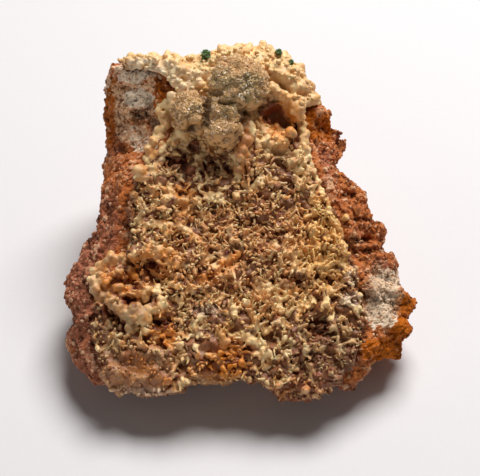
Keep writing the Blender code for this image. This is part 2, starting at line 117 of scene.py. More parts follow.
# The worn cream lip
LIP_PATCHES = [(-26.5, -38.5, 11, 6.5, 1), (-33.5, -31, 3, 4, 0.6), (-9, -40.5, 8, 2, 0.6)]
# Fine needles, yellowish blades, and crystals that are stubby but small
NEEDLE_PATCHES = [(-2, -4, 20, 11, 1), (8, 5, 12, 6.5, 1), (-6, -17, 12, 7, 0.8)]
BLADE_PATCHES = [(21.5, -3.5, 8, 13, 1), (17, -10, 9, 5, 0.8), (9, -20, 8, 5, 0.5)]
FINE_PATCHES = [
    (24, -33, 12, 11, 1), (14, -41, 12, 5, 1), (-13, -25, 7, 5, 0.8), (-35, -30, 6, 7, 0.6), (-26, 6, 4, 9, 0.7),
    (26, -14, 5, 8, 0.7),
]
# Colours of the crust
RUST_PATCHES = [
    (-9, -13.6, 2.4, 1.4, 1), (-6.5, -12, 2.4, 1.4, 1), (-3.5, -10, 2.4, 1.4, 1), (-0.5, -8.5, 2.4, 1.4, 0.9),
    (-33.4, -14, 2.8, 4.4, 0.85), (1.2, 20, 2.2, 7, 0.6), (-25, -37, 4, 2.5, 0.9), (-30, -40, 3, 2, 0.5),
    (-20, -41, 3, 1.5, 0.6), (-22, -10.5, 8, 4.2, 0.75), (-28, -15.5, 4, 4.5, 1), (-19.6, -27.5, 3.8, 4.6, 1),
    (-2, -34.5, 6, 4.5, 1), (10.5, 28, 5.2, 5.6, 1), (12, 22.5, 4.5, 3.5, 0.8), (-14.4, 8.5, 3.2, 2.6, 0.9),
    (-27, -35.5, 3.2, 2, 0.8), (-13, -3, 4, 2, 0.5), (-8, -38, 7, 2.2, 0.8), (-5, 33.5, 3, 1.6, 0.6),
    (-24, -30.5, 4, 2, 0.7), (-16, 1.5, 4, 2, 0.5), (22, 25, 2.5, 3, 0.5),
]
# Hematite stain; on the curtain, the lumps right of the nodules, the lower left balls and the lip it is also painted
# shade
RED_AND_SHADE_PATCHES = [
    (1.2, 20, 2.6, 7.5, 1), (20, 35, 7, 10, 0.45), (15, 31, 2, 3, 0.5), (-33, -17, 7, 9, 0.5),
    (-26.5, -38.5, 11, 6.5, 1), (-32, -12.5, 4, 3, 0.6), (4, -6, 14, 8, 0.5), (6, -2.5, 8.5, 10.5, 0.45),
    (-5.6, -3.9, 6, 5, 0.5), (-28.7, -20.9, 4.5, 3, 0.5), (-5, -11, 9, 4, 0.45), (-12, 1, 6, 3, 0.4),
    (14, 2, 5, 5, 0.5), (-2, -15.5, 8, 3, 0.6), (18, -44, 12, 5, 0.9),
]
YELLOW_PATCHES = [
    (22, -4, 8, 13, 1), (20, -20, 8, 5, 0.5), (-6, -38, 7, 2, 0.8), (16, 30, 7, 6, 0.5), (-30, -16, 6, 6, 0.4),
    (0, -27, 8, 4, 0.4),
]
# Grey, dusty crystals; the first three patches, on the curtain, the lip and the lower left balls, are painted shade
GREY_AND_SHADE_PATCHES = [
    (1.2, 20, 2.6, 7.5, 0.8), (-26.5, -38.5, 11, 6.5, 1), (-33, -17, 7, 9, 0.7), (22, -33, 11, 8, 1),
    (-29, -21.5, 6.5, 4, 1), (-13, -25, 7, 5, 0.35), (-32, -27, 6, 4, 0.4), (-26, 5, 5, 6, 0.5),
    (-10, 15, 14, 4, 0.5), (12, 14, 9, 4, 0.5), (-34, -20, 3, 3, 0.6), (28, -24, 4, 6, 0.7),
]
# White crystals; the first two patches, on the top edge and on the lumps left of the nodules, are painted light
WHITE_AND_LIGHT_PATCHES = [
    (-23.5, 41.5, 7, 2.5, 0.7), (-15.7, 36.6, 6, 5, 0.4), (-25, -43.6, 8, 1.3, 0.6), (29, -14, 2.2, 2.2, 0.7),
    (28.5, -19.5, 3.2, 2.2, 0.7), (-9, -22.5, 4, 1.6, 0.6),
]
# Ochre on the crust
STAIN_PATCHES = [
    (-20.5, -12, 4, 3, 0.4), (-28.5, -12, 2.5, 2.5, 0.35), (-22, -9.5, 8, 4, 0.4), (-27.5, -36, 5, 2, 0.35),
    (-22, -40, 4, 2, 0.3), (-32, -15, 2.6, 2.6, 0.4), (-4.5, -37.5, 6, 3.6, 1), (-2.5, -34, 5, 3, 0.8),
    (-20, -29, 3, 3, 0.5), (10.5, 27.5, 4, 4, 0.5),
]
# Hollows, where few crystals stand, sunk in and darkened with painted shade
DARK_PATCHES = [
    (-29.6, -19.8, 1.4, 1.3, 0.95), (-34.5, -23, 3, 1, 0.8), (-27.6, -20.8, 1, 1, 0.8), (-31.6, -13.8, 1.5, 1.4, 0.8),
    (-23, -20.4, 1.6, 1, 0.8), (-19, -23.4, 1.6, 0.9, 0.7), (-31.8, -14.8, 2.2, 2, 0.5), (-28.6, -19.4, 2, 1.4, 0.7),
    (-37.5, -24.5, 3, 1.4, 0.45), (-33.5, -24.8, 2.6, 1, 0.5), (2, 1, 3, 1.4, 0.6), (10, -3, 3, 1.2, 0.6),
    (-6, 4, 3, 1.2, 0.6), (15, -14.5, 5.5, 2.8, 0.7), (20.9, -26.8, 3.4, 2.4, 0.8), (-8, 14.5, 9, 2.2, 0.6),
    (-17, 16.5, 5, 2, 0.7), (11, 17, 3.6, 2.6, 0.6), (-11.8, 20.6, 2, 1.8, 1), (-22.4, -10.6, 2.4, 1.1, 0.95),
    (-20.1, -25.5, 1.8, 1.4, 0.9), (-31, -26.5, 5, 1.6, 0.6), (-15.5, -3.5, 4, 1.6, 0.6), (2.5, -32.5, 2.2, 1.6, 0.6),
    (12, 10, 4, 2, 0.6), (-26.8, -16, 1.6, 1.3, 0.9), (-30.5, 3, 2.5, 5, 0.5), (6, -25.5, 3, 1.6, 0.6),
    (16, -35, 4, 2, 0.5), (-14, -12, 3, 1.5, 0.5), (25, -14.5, 3, 3, 0.5), (8.4, 29.6, 3.6, 3.2, 1),
    (11.4, 26.8, 2.6, 1.8, 0.9), (14.5, 22, 1.6, 2.6, 0.7),
]
# Colours of the bare rock: pale limonite, on the front of the top left block partly painted light, clean and
# dull quartz, ochre, hematite and dark pits, darkened partly with painted shade
PALE_AND_LIGHT_PATCHES = [
    (-27.5, 31, 7.5, 12, 0.95), (-33.5, 15, 5, 12, 0.3), (21, 21.4, 6, 1, 0.6), (19.5, 18.3, 3.4, 2.4, 0.55),
    (-40, -8, 7, 9, 0.45), (36, -16, 6, 6, 0.5),
]
QUARTZ_PATCHES = [
    (-26.3, 33.2, 4.2, 3, 1), (-28.5, 38.5, 4, 2, 0.8), (-27.5, 24, 4, 2, 0.6), (38.5, -14.8, 4.4, 4, 0.75),
    (36.8, -21.5, 5.2, 6.2, 0.75), (-27, 40, 7, 2.8, 0.75), (-25, 21, 5, 3, 0.6), (-26.5, 20.5, 2, 2, 0.7),
    (33, -12, 3, 3, 0.5), (-35, 38, 2, 5, 0.6), (-45.5, -17, 4, 4, 0.4), (31.5, -30, 2, 7, 0.5),
]
DULL_PATCHES = [(37, -18.5, 5.5, 8.5, 1)]
OCHRE_PATCHES = [
    (-21, 32, 1.8, 5, 0.65), (-34, 28, 1.8, 9, 0.65), (-27, 27, 4, 1.2, 0.5), (-31, 10, 5, 10, 0.35),
    (17.5, 28.5, 3, 3, 0.8), (43, -25, 5, 11, 1), (38, -32.5, 9, 3.5, 1), (21, 25.5, 4, 3.5, 0.8),
]
MAROON_PATCHES = [
    (-42, -17, 9, 22, 1), (-38, -38, 12, 9, 1), (22, -44, 13, 5, 0.8), (30, -27, 3, 10, 0.7), (-36, 0, 5, 9, 0.8),
    (-37, 38, 3, 6, 0.5),
]
PIT_PATCHES = [
    (-26, 29, 3.4, 1.6, 0.85), (-22.5, 26.8, 1.6, 1.6, 0.8), (-29.5, 35.6, 2, 0.8, 0.7), (28.7, 7.8, 2.6, 1, 0.85),
    (31.5, -4, 3, 1.2, 0.9), (36, -6.5, 5, 1, 0.8), (-37, -27, 3, 5, 0.7), (-31, -38.5, 4, 2.5, 0.7),
    (33, 1.5, 4, 1, 0.8),
]
# Rock that is broken into small blocks
CRAG_PATCHES = [(-28, 31, 10, 14, 0.6), (33, 3, 8, 16, 0.3), (28, 26, 4, 5, 0.4), (-42, -12, 7, 20, 0.7)]
# Gaps between the nodules, sunk in and darkened with painted shade, and grey-green druse on them
GAP_PATCHES = [
    (-9.4, 34.2, 1.2, 1.8, 0.8), (-8.4, 31, 1.2, 2.4, 1), (-8.8, 27.4, 1.2, 2.2, 1), (-6.4, 34.4, 2.2, 1, 0.6),
    (-3.2, 31.8, 2.2, 1, 0.8), (0.6, 29.4, 2, 1.2, 0.9), (-12.8, 25.2, 2, 1.2, 0.8),
]
DUST_PATCHES = [
    (-5, 38.5, 4, 3.6, 0.85), (3, 35.5, 4, 4.5, 0.9), (-1, 33, 6, 4.5, 0.5), (-12, 31, 3, 3.2, 0.75),
    (-3.5, 30.5, 4, 3.6, 0.75), (-6, 26, 3.4, 4, 0.45), (-15, 33, 3, 3, 0.3),
]
# Round bulbs fused into the crust, and lumps of the rock: u, v and radius in mm, and how much of it stands out
CRUST_BULBS = [
    (-28.6, -11.6, 1.4, 0.6), (-26.8, -13.4, 1.3, 0.6), (-30, -13.2, 1.2, 0.5), (-17.5, -12, 1.3, 0.4),
    (-24.5, -13.8, 1.3, 0.4), (-21.5, -13.6, 1.3, 0.4), (-27.5, -12.5, 1.3, 0.4), (-18, 9, 1.2, 0.4),
    (-36.4, -11.4, 1.4, 0.4), (-34.6, -10.2, 1.3, 0.4), (-32.6, -10.4, 1.4, 0.4), (-35.8, -13.4, 1.3, 0.3),
    (-33.8, -12.4, 1.5, 0.3), (-31.8, -12.2, 1.3, 0.4), (-34.8, -15.6, 1.5, 0.4), (-32.6, -16.6, 1.3, 0.5),
    (-33.8, -18.6, 1.4, 0.4), (-31.2, -18.2, 1.5, 0.5), (-30, -16.2, 1.1, 0.4), (-31, -8.6, 1.3, 0.4),
    (-20.5, 24.5, 1.6, 0.4), (-21.5, 22.5, 1.7, 0.4), (-20, 21, 1.6, 0.4), (-23, 20.5, 1.5, 0.4),
    (-21.8, 18.8, 1.6, 0.4), (-19.8, 18.6, 1.6, 0.4), (-24.6, 17.4, 1.3, 0.4), (-22.8, 16.6, 1.5, 0.4),
    (-20.6, 16.2, 1.5, 0.4), (-19.6, 28, 1.5, 0.4), (-19.2, 31.4, 1.5, 0.4), (-28.6, 42.6, 1.4, 0.5),
    (-26.4, 42.2, 1.5, 0.5), (-37.9, -20.4, 2, 0.4), (-25.6, -23.3, 2.7, 0.5), (-20.9, -21.7, 1.9, 0.6),
    (-25.3, -18.2, 1.6, 0.6), (-27.4, -16.9, 1.2, 0.6), (-24, 12.6, 2.5, 0.7), (-22, 14.8, 1.4, 0.5),
    (-14.6, 23.4, 2, 0.5), (9.7, 25.4, 1.7, 0.6), (7.4, 22.6, 1.5, 0.7), (13.2, 23.6, 1.7, 0.6),
    (10.8, 21.8, 1.2, 0.6), (-36.9, -12.6, 1.8, 0.5), (-35.5, -9.8, 1.6, 0.6), (-33.4, -8.2, 1.6, 0.7),
    (-37.5, -15.5, 1.7, 0.5), (-35, -18.6, 1.8, 0.5), (-32.4, -21, 1.9, 0.4), (-29.4, -23, 2, 0.5),
    (-22, -17.6, 1.5, 0.5), (-19.5, -18.6, 1.4, 0.4), (-17.6, -15.4, 1.4, 0.4), (-15.8, -9.6, 1.3, 0.5),
    (-18.5, -7.4, 1.4, 0.6), (-21.5, -7, 1.4, 0.6), (-24.5, -7, 1.5, 0.6), (-27.5, -7.8, 1.4, 0.6),
    (2.2, 26, 1.9, 0.4), (1.8, 22, 2.1, 0.5), (1.2, 18, 2, 0.5), (0.2, 14.6, 1.5, 0.6), (4.4, 20.6, 1.5, 0.5),
    (15.8, 27.6, 1.5, 0.4), (16.8, 23.4, 1.6, 0.5), (17.4, 19.4, 1.4, 0.4), (18, 15.2, 1.4, 0.4),
    (14.5, 31, 1.7, 0.4), (11, 33.6, 1.8, 0.4), (-20.6, 30.6, 1.8, 0.4), (-18.6, 26.6, 1.5, 0.4),
    (-20.8, 22.8, 1.3, 0.4), (-23.6, 19, 1.3, 0.5), (13.5, 16.6, 1.5, 0.6), (16, 14, 1.2, 0.7), (-15, 6.8, 1.2, 0.8),
    (-12.6, 8.6, 1, 0.8), (27.5, 2, 1, 0.4), (-17, -30.6, 1.5, 0.4), (-21.5, -31, 1.6, 0.3), (3.5, -30.5, 1.5, 0.5),
    (0.8, -29, 1.6, 0.5), (-32, -30, 1.5, 0.4), (-28.4, -28.2, 1.4, 0.6), (-24.5, -27, 1.4, 0.6),
    (-21, -11.2, 1, 0.3),
]
ROCK_LUMPS = [(-32, 40.8, 1.8, 0.6), (-29.5, 41.6, 1.6, 0.5)]
# Ridges of the crust: radius in mm, how much of it stands out, and the places that they run through
CRUST_RIDGES = [
    (1.5, 0.6, (1.6, 27.4), (1.8, 23.5), (1, 19.6), (0.3, 15.7), (0, 12.3)),
    (1.2, 0.6, (8.4, 35.8), (12.5, 33.2), (15.7, 28.7), (16.4, 24.8), (16.4, 20.9), (17.2, 18.3), (18.3, 15.7)),
    (1.3, 0.5, (-17.8, 33.9), (-18.3, 29.5), (-19.8, 25.3), (-22.2, 21.7), (-24, 19.1)),
    (1.4, 0.6, (-32.9, -8.6), (-35.5, -11.2), (-37.3, -13.8), (-37.6, -16.4), (-36, -18.5), (-33.2, -20.6),
     (-30, -22.7), (-27.2, -24.3), (-24.5, -22.7)),
    (1, 0.5, (-30.3, -9.7), (-28.2, -7.6), (-24.5, -7.2), (-20.9, -7.6), (-18.3, -9), (-16.4, -10.7)),
    (0.8, 0.7, (18.8, 14.9), (20.9, 9.1), (23.8, 2.6), (26.1, -2.6), (27.2, -6.5)),
    (0.75, 1, (-9.7, -13.3), (-6.5, -11.2), (-3.1, -9.1), (0, -7.6)),
    (0.65, 1, (-6.5, -15.1), (-1.3, -11.7), (1.8, -9.7)),
    (1.1, 0.6, (-19.6, 6.5), (-17.5, 7.6), (-15.1, 5.5), (-13.6, 3.4)),
    (1, 0.6, (-25.3, 0), (-20, 0.3), (-15, -1), (-12, -3)),
    (1.1, 0.6, (-4.7, -31.3), (-1.3, -28.7), (2.6, -29.5), (5.7, -31.3), (7.8, -34.7)),
]
# fmt: on

# The patches that shape a surface or choose its crystals, the seed of their edges and how far these wander
ZONES = {
    "lumpy": (LUMPY_PATCHES, 13),
    "lip": (LIP_PATCHES, 15),
    "bare of crystals": (LUMPY_PATCHES + LIP_PATCHES, 13),
    "dark": (DARK_PATCHES, 11),
    "needles": (NEEDLE_PATCHES, 31),
    "blades": (BLADE_PATCHES, 33),
    "fine": (FINE_PATCHES, 35),
    "crags": (CRAG_PATCHES, 29),
    "pits": (PIT_PATCHES, 27),
    "gaps": (GAP_PATCHES, 53, 0.6),
}
# Patch attributes that the materials read
CRUST_COLOURS = {
    "rust": RUST_PATCHES,
    "red": RED_AND_SHADE_PATCHES,
    "yellow": YELLOW_PATCHES,
    "grey": GREY_AND_SHADE_PATCHES,
    "white": WHITE_AND_LIGHT_PATCHES,
    "stain": STAIN_PATCHES,
    "dark": DARK_PATCHES,
    "smooth": LUMPY_PATCHES + [(*place, 0.2 * strength) for *place, strength in LIP_PATCHES],
}
ROCK_COLOURS = {
    "pale": PALE_AND_LIGHT_PATCHES,
    "quartz": QUARTZ_PATCHES,
    "ochre": OCHRE_PATCHES,
    "maroon": MAROON_PATCHES,
    "dull": DULL_PATCHES,
    "pit": PIT_PATCHES,
}
NODULE_COLOURS = {"dust": DUST_PATCHES, "gap": GAP_PATCHES}

# Parts of the face whose crystals are fused to one mesh each
CORAL_ZONES = {
    "low_left": lambda u, v: (v < -14) & (u < -7),
    "low_right": lambda u, v: (v < -14) & (u >= -7),
    "high_left": lambda u, v: (v >= -14) & (u < 0),
    "high_right": lambda u, v: (v >= -14) & (u >= 0),
}
# Gaps between the crystals of a kind: the zone they keep to, the gaps' size in mm and seed, and the level of
# noise below which no crystal stands and above which all do
CRYSTAL_GAPS = {
    "coarse": (None, 3.4, 41, 0.3, 0.45),
    "bladed": ("blades", 3.2, 43, 0.3, 0.45),
    "thin": ("needles", 3.0, 45, 0.3, 0.48),
    "finer": ("fine", 2.4, 47, 0.28, 0.42),
}
UPWARD = 0.5 * PLANE_UP + 0.3 * PLANE_RIGHT
# Sprays of crystals: their kind, places tried, least distance apart in mm, fewest and most crystals in a spray,
# how far they spread, length and half width as shares of the setting, and where they lean
SPRAYS = {
    "crystals": (
        ("coarse", 30000, 1.9, (2, 4), 1.1, 1.0, 1.1, None),
        ("bladed", 20000, 1.8, (3, 5), 1.0, 1.4, 1.0, UPWARD),
        ("thin", 20000, 2.2, (3, 5), 1.4, 0.85, 0.8, None),
        ("finer", 30000, 1.4, (3, 4), 1.2, 0.7, 0.62, None),
    ),
    "knobs": (("coarse", 4000, 3.2, (1, 2), 0.9, 2.1, 1.0, None),),
    "teeth": (
        ("coarse", 20000, 2.2, (1, 2), 1.1, 1.0, 0.92, None),
        ("bladed", 20000, 1.8, (1, 3), 0.9, 1.35, 0.88, UPWARD),
        ("thin", 20000, 2.2, (1, 2), 1.2, 1.0, 0.8, None),
        ("finer", 20000, 1.4, (1, 3), 1.2, 0.65, 0.56, None),
    ),
    "needles": (("thin", 60000, 1.5, (2, 4), 1.5, 1.0, 1.0, None),),
    "nubs": (("rim", 30000, 0.9, (1, 1), 0.8, 2.6, 1.0, None),),
    "granules": (("lumps", 40000, 1.3, (1, 2), 0.8, 2.8, 1.6, None),),
}


def linear(colour):
    """An sRGB hex colour as linear red, green, blue and alpha."""
    parts = [int(colour[i : i + 2], 16) / 255 for i in (1, 3, 5)]
    return (*(c / 12.92 if c <= 0.04045 else ((c + 0.055) / 1.055) ** 2.4 for c in parts), 1.0)


def connect(tree, node, inputs):
    """Gives sockets of a node a value or another node's output."""
    for socket, value in inputs.items():
        if isinstance(value, bpy.types.NodeSocket):
            tree.links.new(value, node.inputs[socket])
        else:
            node.inputs[socket].default_value = value


def add(tree, kind, inputs, stops=None, output=0, **settings):
    """Adds a node and returns one of its outputs. stops gives a ramp its colours."""
    made = tree.nodes.new("ShaderNode" + kind)
    for name, value in settings.items():
        setattr(made, name, value)
    connect(tree, made, inputs)
    if stops:
        ramp = made.color_ramp.elements
        while len(ramp) < len(stops):
            ramp.new(0.5)
        for element, (place, colour) in zip(ramp, stops):
            element.position = place
            element.color = colour
    return made.outputs[output]


def new_material(name):
    """An empty node material, with its tree and its Principled shader."""
    material = bpy.data.materials.new(name)
    material.use_nodes = True
    return material, material.node_tree, material.node_tree.nodes["Principled BSDF"]


def smooth(value, low, high):
    """0 below low, 1 above high and a soft step between them."""
    share = np.clip((value - low) / (high - low), 0, 1)
    return share * share * (3 - 2 * share)


def clouds(points, size, seed):
    """Smooth noise from 0 to 1 at points in mm, with forms of about this size."""
    place = points / size
    cell = np.floor(place).astype(np.int64)
    part = place - cell
    part = part * part * (3 - 2 * part)
    total = np.zeros(len(points))
    for corner in itertools.product((0, 1), repeat=3):
        along = (cell + corner) * PLACE_FACTORS
        mixed = along[:, 0] ^ along[:, 1] ^ along[:, 2] ^ seed * SEED_FACTOR
        for shift, factor in SCRAMBLES:
            mixed = (mixed ^ (mixed >> shift)) * factor & KEPT_BITS
        weight = np.prod(np.where(corner, part, 1 - part), axis=1)
        total += weight * (mixed / KEPT_BITS)
    return total


def seen_at(points):
    """Where the camera sees points on the outline plane: u and v in mm."""
    offset = points - PLANE_ORIGIN
    scale = CAMERA_DISTANCE / (CAMERA_DISTANCE - offset @ PLANE_OUT) / MM
    return offset @ PLANE_RIGHT * scale, offset @ PLANE_UP * scale


def from_camera(u, v):
    """The ray from the camera through a place on the outline plane."""
    start = PLANE_ORIGIN + CAMERA_DISTANCE * PLANE_OUT
    target = PLANE_ORIGIN + (u * PLANE_RIGHT + v * PLANE_UP) * MM
    return Vector(start), Vector(target - start).normalized()


def in_patches(points, patches, seed, wobble=0.5):
    """How far points are inside soft patches of the face, from 0 to 1. Their edges wander with noise."""
    u, v = seen_at(points)
    noises = (clouds(points / MM, size, seed + step) for step, size in enumerate(EDGE_NOISE))
    edge = sum((noise - 0.5) * wobble for noise in noises)
    inside = np.zeros(len(points))
    for patch_u, patch_v, half_width, half_height, strength in patches:
        away = np.hypot((u - patch_u) / half_width, (v - patch_v) / half_height)
        inside = np.maximum(inside, strength * (1 - smooth(away + edge, *EDGE_FADE)))
    return inside


def in_zone(points, zone):
    """How far points are inside one of the zones."""
    return in_patches(points, *ZONES[zone])


def faces_out(points, normals, reach):
    """0 where a surface faces the specimen's heart, up to 1 where it faces away by reach in mm or more."""
    return smooth(((points - HEART) * normals).sum(1) / MM, 0, reach)


def surface_of(piece):
    """The mesh's corners, triangles and corner normals as arrays."""
    mesh = piece.data
    mesh.calc_loop_triangles()
    points = np.empty(len(mesh.vertices) * 3)
    mesh.vertices.foreach_get("co", points)
    triangles = np.empty(len(mesh.loop_triangles) * 3, np.int64)
    mesh.loop_triangles.foreach_get("vertices", triangles)
    normals = np.empty(len(mesh.vertices) * 3)
    mesh.vertex_normals.foreach_get("vector", normals)
    return points.reshape(-1, 3), triangles.reshape(-1, 3), normals.reshape(-1, 3)


def tree_of(*pieces):
    """The surface of pieces as a tree, to find places on it."""
    corners, faces = [], []
    for piece in pieces:
        points, triangles, _ = surface_of(piece)
        faces += (triangles + len(corners)).tolist()
        corners += points.tolist()
    return BVHTree.FromPolygons(corners, faces)


def set_attribute(piece, name, values):
    """Keeps one number a mesh point for the materials."""
    attribute = piece.data.attributes.get(name) or piece.data.attributes.new(name, "FLOAT", "POINT")
    attribute.data.foreach_set("value", np.asarray(values, np.float32))


def paint(piece, colours, first_seed):
    """Keeps a patch attribute per name, only on the side that the patches are drawn on."""
    points, _, normals = surface_of(piece)
    to_camera = smooth(normals @ PLANE_OUT, -0.35, 0.1)
    for step, (name, patches) in enumerate(colours.items()):
        set_attribute(piece, name, in_patches(points, patches, first_seed + 2 * step) * to_camera)


def keep_height(piece, before, reach):
    """Keeps how far each point now stands above where it was, as height from 0 to 1. reach is in mm."""
    points, _, _ = surface_of(piece)
    start, _, normals = before
    rise = ((points - start) * normals).sum(1) / (reach * MM)
    set_attribute(piece, "height", np.clip(0.5 + rise - np.median(rise), 0, 1))


def only(piece):
    """Selects one piece and makes it the active one."""
    bpy.ops.object.select_all(action="DESELECT")
    piece.select_set(True)
    bpy.context.view_layer.objects.active = piece


@contextmanager
def editing():
    """Edit mode for the active piece, with all of its mesh selected."""
    bpy.ops.object.mode_set(mode="EDIT")
    bpy.ops.mesh.select_all(action="SELECT")
    yield
    bpy.ops.object.mode_set(mode="OBJECT")


def modify(piece, kind, **settings):
    """Adds a modifier with these settings and applies it."""
    modifier = piece.modifiers.new(kind.title(), kind)
    for name, value in settings.items():
        setattr(modifier, name, value)
    only(piece)
    bpy.ops.object.modifier_apply(modifier=modifier.name)


def remesh(piece, fineness, passes):
    """Gives a piece even faces, softened by this many passes."""
    modify(piece, "REMESH", mode="VOXEL", voxel_size=fineness)
    modify(piece, "SMOOTH", factor=0.5, iterations=passes)


def relief(piece, kind, size, height, group="", middle=0.5, **settings):
    """Displaces a piece along its normals by one of Blender's textures. size and height are in mm, and middle
    is the texture's level that stays in place."""
    texture = bpy.data.textures.new("relief", kind)
    texture.noise_scale = size * MM
    for name, value in settings.items():
        setattr(texture, name, value)
    modify(
        piece,
        "DISPLACE",
        texture=texture,
        texture_coords="LOCAL",
        strength=height * MM,
        mid_level=middle,
        vertex_group=group,
    )
    bpy.data.textures.remove(texture)


def mask(piece, name, weights):
    """Keeps a weight per mesh point as a vertex group, for a modifier."""
    group = piece.vertex_groups.new(name=name)
    steps = np.round(np.clip(weights, 0, 1) * MASK_STEPS).astype(int)
    for step in range(1, MASK_STEPS + 1):
        group.add(np.flatnonzero(steps == step).tolist(), step / MASK_STEPS, "REPLACE")


def sink(piece, name, weights, depth):
    """Presses a piece in by depth where weights are 1. depth is in mm."""
    mask(piece, name, weights)
    modify(piece, "DISPLACE", strength=-depth * MM, mid_level=0.0, vertex_group=name)


def copy_of(node, name):
    """A new piece with a copy of a CAD node's mesh, whose loose triangles are merged."""
    piece = bpy.data.objects.new(name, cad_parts[node].data.copy())
    bpy.context.scene.collection.objects.link(piece)
    piece.data.materials.clear()
    only(piece)
    with editing():
        bpy.ops.mesh.remove_doubles(threshold=0.01 * MM)
    return piece


def fuse(piece, other):
    """Joins another piece's mesh to a piece."""
    only(piece)
    other.select_set(True)
    bpy.ops.object.join()


def finish_piece(piece, material, slot, *nodes, rounded=False):
    """Gives a piece its shading and material, lets it ride on the specimen's one body, and hides the CAD nodes
    that it stands for. The slot is not used."""
    only(piece)
    if rounded:
        bpy.ops.object.shade_smooth()
    else:
        bpy.ops.object.shade_flat()
    piece.vertex_groups.clear()
    piece.data.materials.clear()
    piece.data.materials.append(material)
    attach(piece, "root")
    if nodes:
        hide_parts(*nodes)


def scatter(piece, count, rng, keep, apart):
    """Random places on a piece, evenly spread, with their normals. keep thins them out by its chance per
    place, and apart is the least distance between two of them in metres."""
    points, triangles, normals = surface_of(piece)
    corners = points[triangles]
    area = np.linalg.norm(np.cross(corners[:, 1] - corners[:, 0], corners[:, 2] - corners[:, 0]), axis=1)
    face = rng.choice(len(triangles), count, p=area / area.sum())
    a, b = rng.random((2, count))
    fold = a + b > 1
    a[fold], b[fold] = 1 - a[fold], 1 - b[fold]
    parts = np.stack([1 - a - b, a, b], 1)[:, :, None]
    places = (corners[face] * parts).sum(1)
    outward = (normals[triangles[face]] * parts).sum(1)
    outward /= np.maximum(np.linalg.norm(outward, axis=1), 1e-9)[:, None]
    kept = rng.random(count) < keep(places, outward)
    places, outward = places[kept], outward[kept]
    # the places taken so far, by cells as wide as the least distance
    taken, chosen = {}, []
    cells = np.floor(places / apart).astype(int).tolist()
    for i, (place, (x, y, z)) in enumerate(zip(places, cells)):
        steps = itertools.product((-1, 0, 1), repeat=3)
        near = (j for dx, dy, dz in steps for j in taken.get((x + dx, y + dy, z + dz), ()))
        if all(((place - places[j]) ** 2).sum() > apart**2 for j in near):
            taken.setdefault((x, y, z), []).append(i)
            chosen.append(i)
    return places[chosen], outward[chosen]


def unit(directions):
    """Directions with a length of 1."""
    return directions / np.linalg.norm(directions, axis=1)[:, None]


def sideways(axes, rng):
    """Two unit directions across each axis, turned by chance."""
    first = unit(np.cross(axes, rng.normal(size=axes.shape)))
    return first, np.cross(axes, first)


def model_shape(make):
    """Models a small shape with operators, and returns its points and triangles as arrays."""
    make()
    shape = bpy.context.object
    with editing():
        bpy.ops.mesh.quads_convert_to_tris()
    points, triangles, _ = surface_of(shape)
    bpy.data.objects.remove(shape)
    # sorted, each from its lowest corner, because the operators' order of faces changes from run to run
    turned = (min(row[i:] + row[:i] for i in range(3)) for row in triangles.tolist())
    return points, np.array(sorted(turned))


def make_finger():
    """A stubby crystal one unit high: five sides, a waist to bend at and a rounded tip."""
    waist, shoulder = 0.42, 0.84
    bpy.ops.mesh.primitive_cone_add(
        vertices=5, radius1=0.75, radius2=0.9, depth=shoulder, location=(0, 0, shoulder / 2)
    )
    bpy.ops.object.transform_apply(location=True, rotation=True, scale=True)
    with editing():
        bpy.ops.mesh.bisect(plane_co=(0, 0, waist), plane_no=(0, 0, 1))
        bpy.ops.transform.resize(value=(1.2, 1.2, 1), center_override=(0, 0, waist))
    for polygon in bpy.context.object.data.polygons:
        polygon.select = polygon.center.z > shoulder - 0.01
    bpy.ops.object.mode_set(mode="EDIT")
    bpy.ops.mesh.select_mode(type="FACE")
    bpy.ops.mesh.extrude_region_move(TRANSFORM_OT_translate={"value": (0, 0, 1 - shoulder)})
    bpy.ops.transform.resize(value=(0.5, 0.5, 1), center_override=(0, 0, 1))
    bpy.ops.object.mode_set(mode="OBJECT")


def make_needle():
    """A thin crystal one unit high with four sides and a blunt point."""
    bpy.ops.mesh.primitive_cone_add(vertices=4, radius1=1.0, radius2=0.35, depth=1.0, location=(0, 0, 0.5))
    bpy.ops.object.transform_apply(location=True, rotation=True, scale=True)


def make_grain():
    """A small broken grain with twenty faces."""
    bpy.ops.mesh.primitive_ico_sphere_add(subdivisions=1, radius=1.0)
    with editing():
        bpy.ops.transform.vertex_random(offset=0.3, seed=3)


def stand_up():
    """Stands the selected ball of radius 1 on its root and makes it one unit high."""
    bpy.ops.transform.translate(value=(0, 0, 1))
    bpy.ops.transform.resize(value=(1, 1, 0.5), center_override=(0, 0, 0))


def make_nub():
    """A round little crystal end, one unit high."""
    bpy.ops.mesh.primitive_ico_sphere_add(subdivisions=1, radius=1.0)
    with editing():
        stand_up()


def make_knob():
    """A round knob, one unit high, with enough faces to look round."""
    bpy.ops.mesh.primitive_ico_sphere_add(subdivisions=2, radius=1.0)
    with editing():
        bpy.ops.transform.vertex_random(offset=0.12, seed=5)
        stand_up()


def make_sugar():
    """A sugar crystal of the druse: a little block."""
    bpy.ops.mesh.primitive_cube_add(size=1.0)


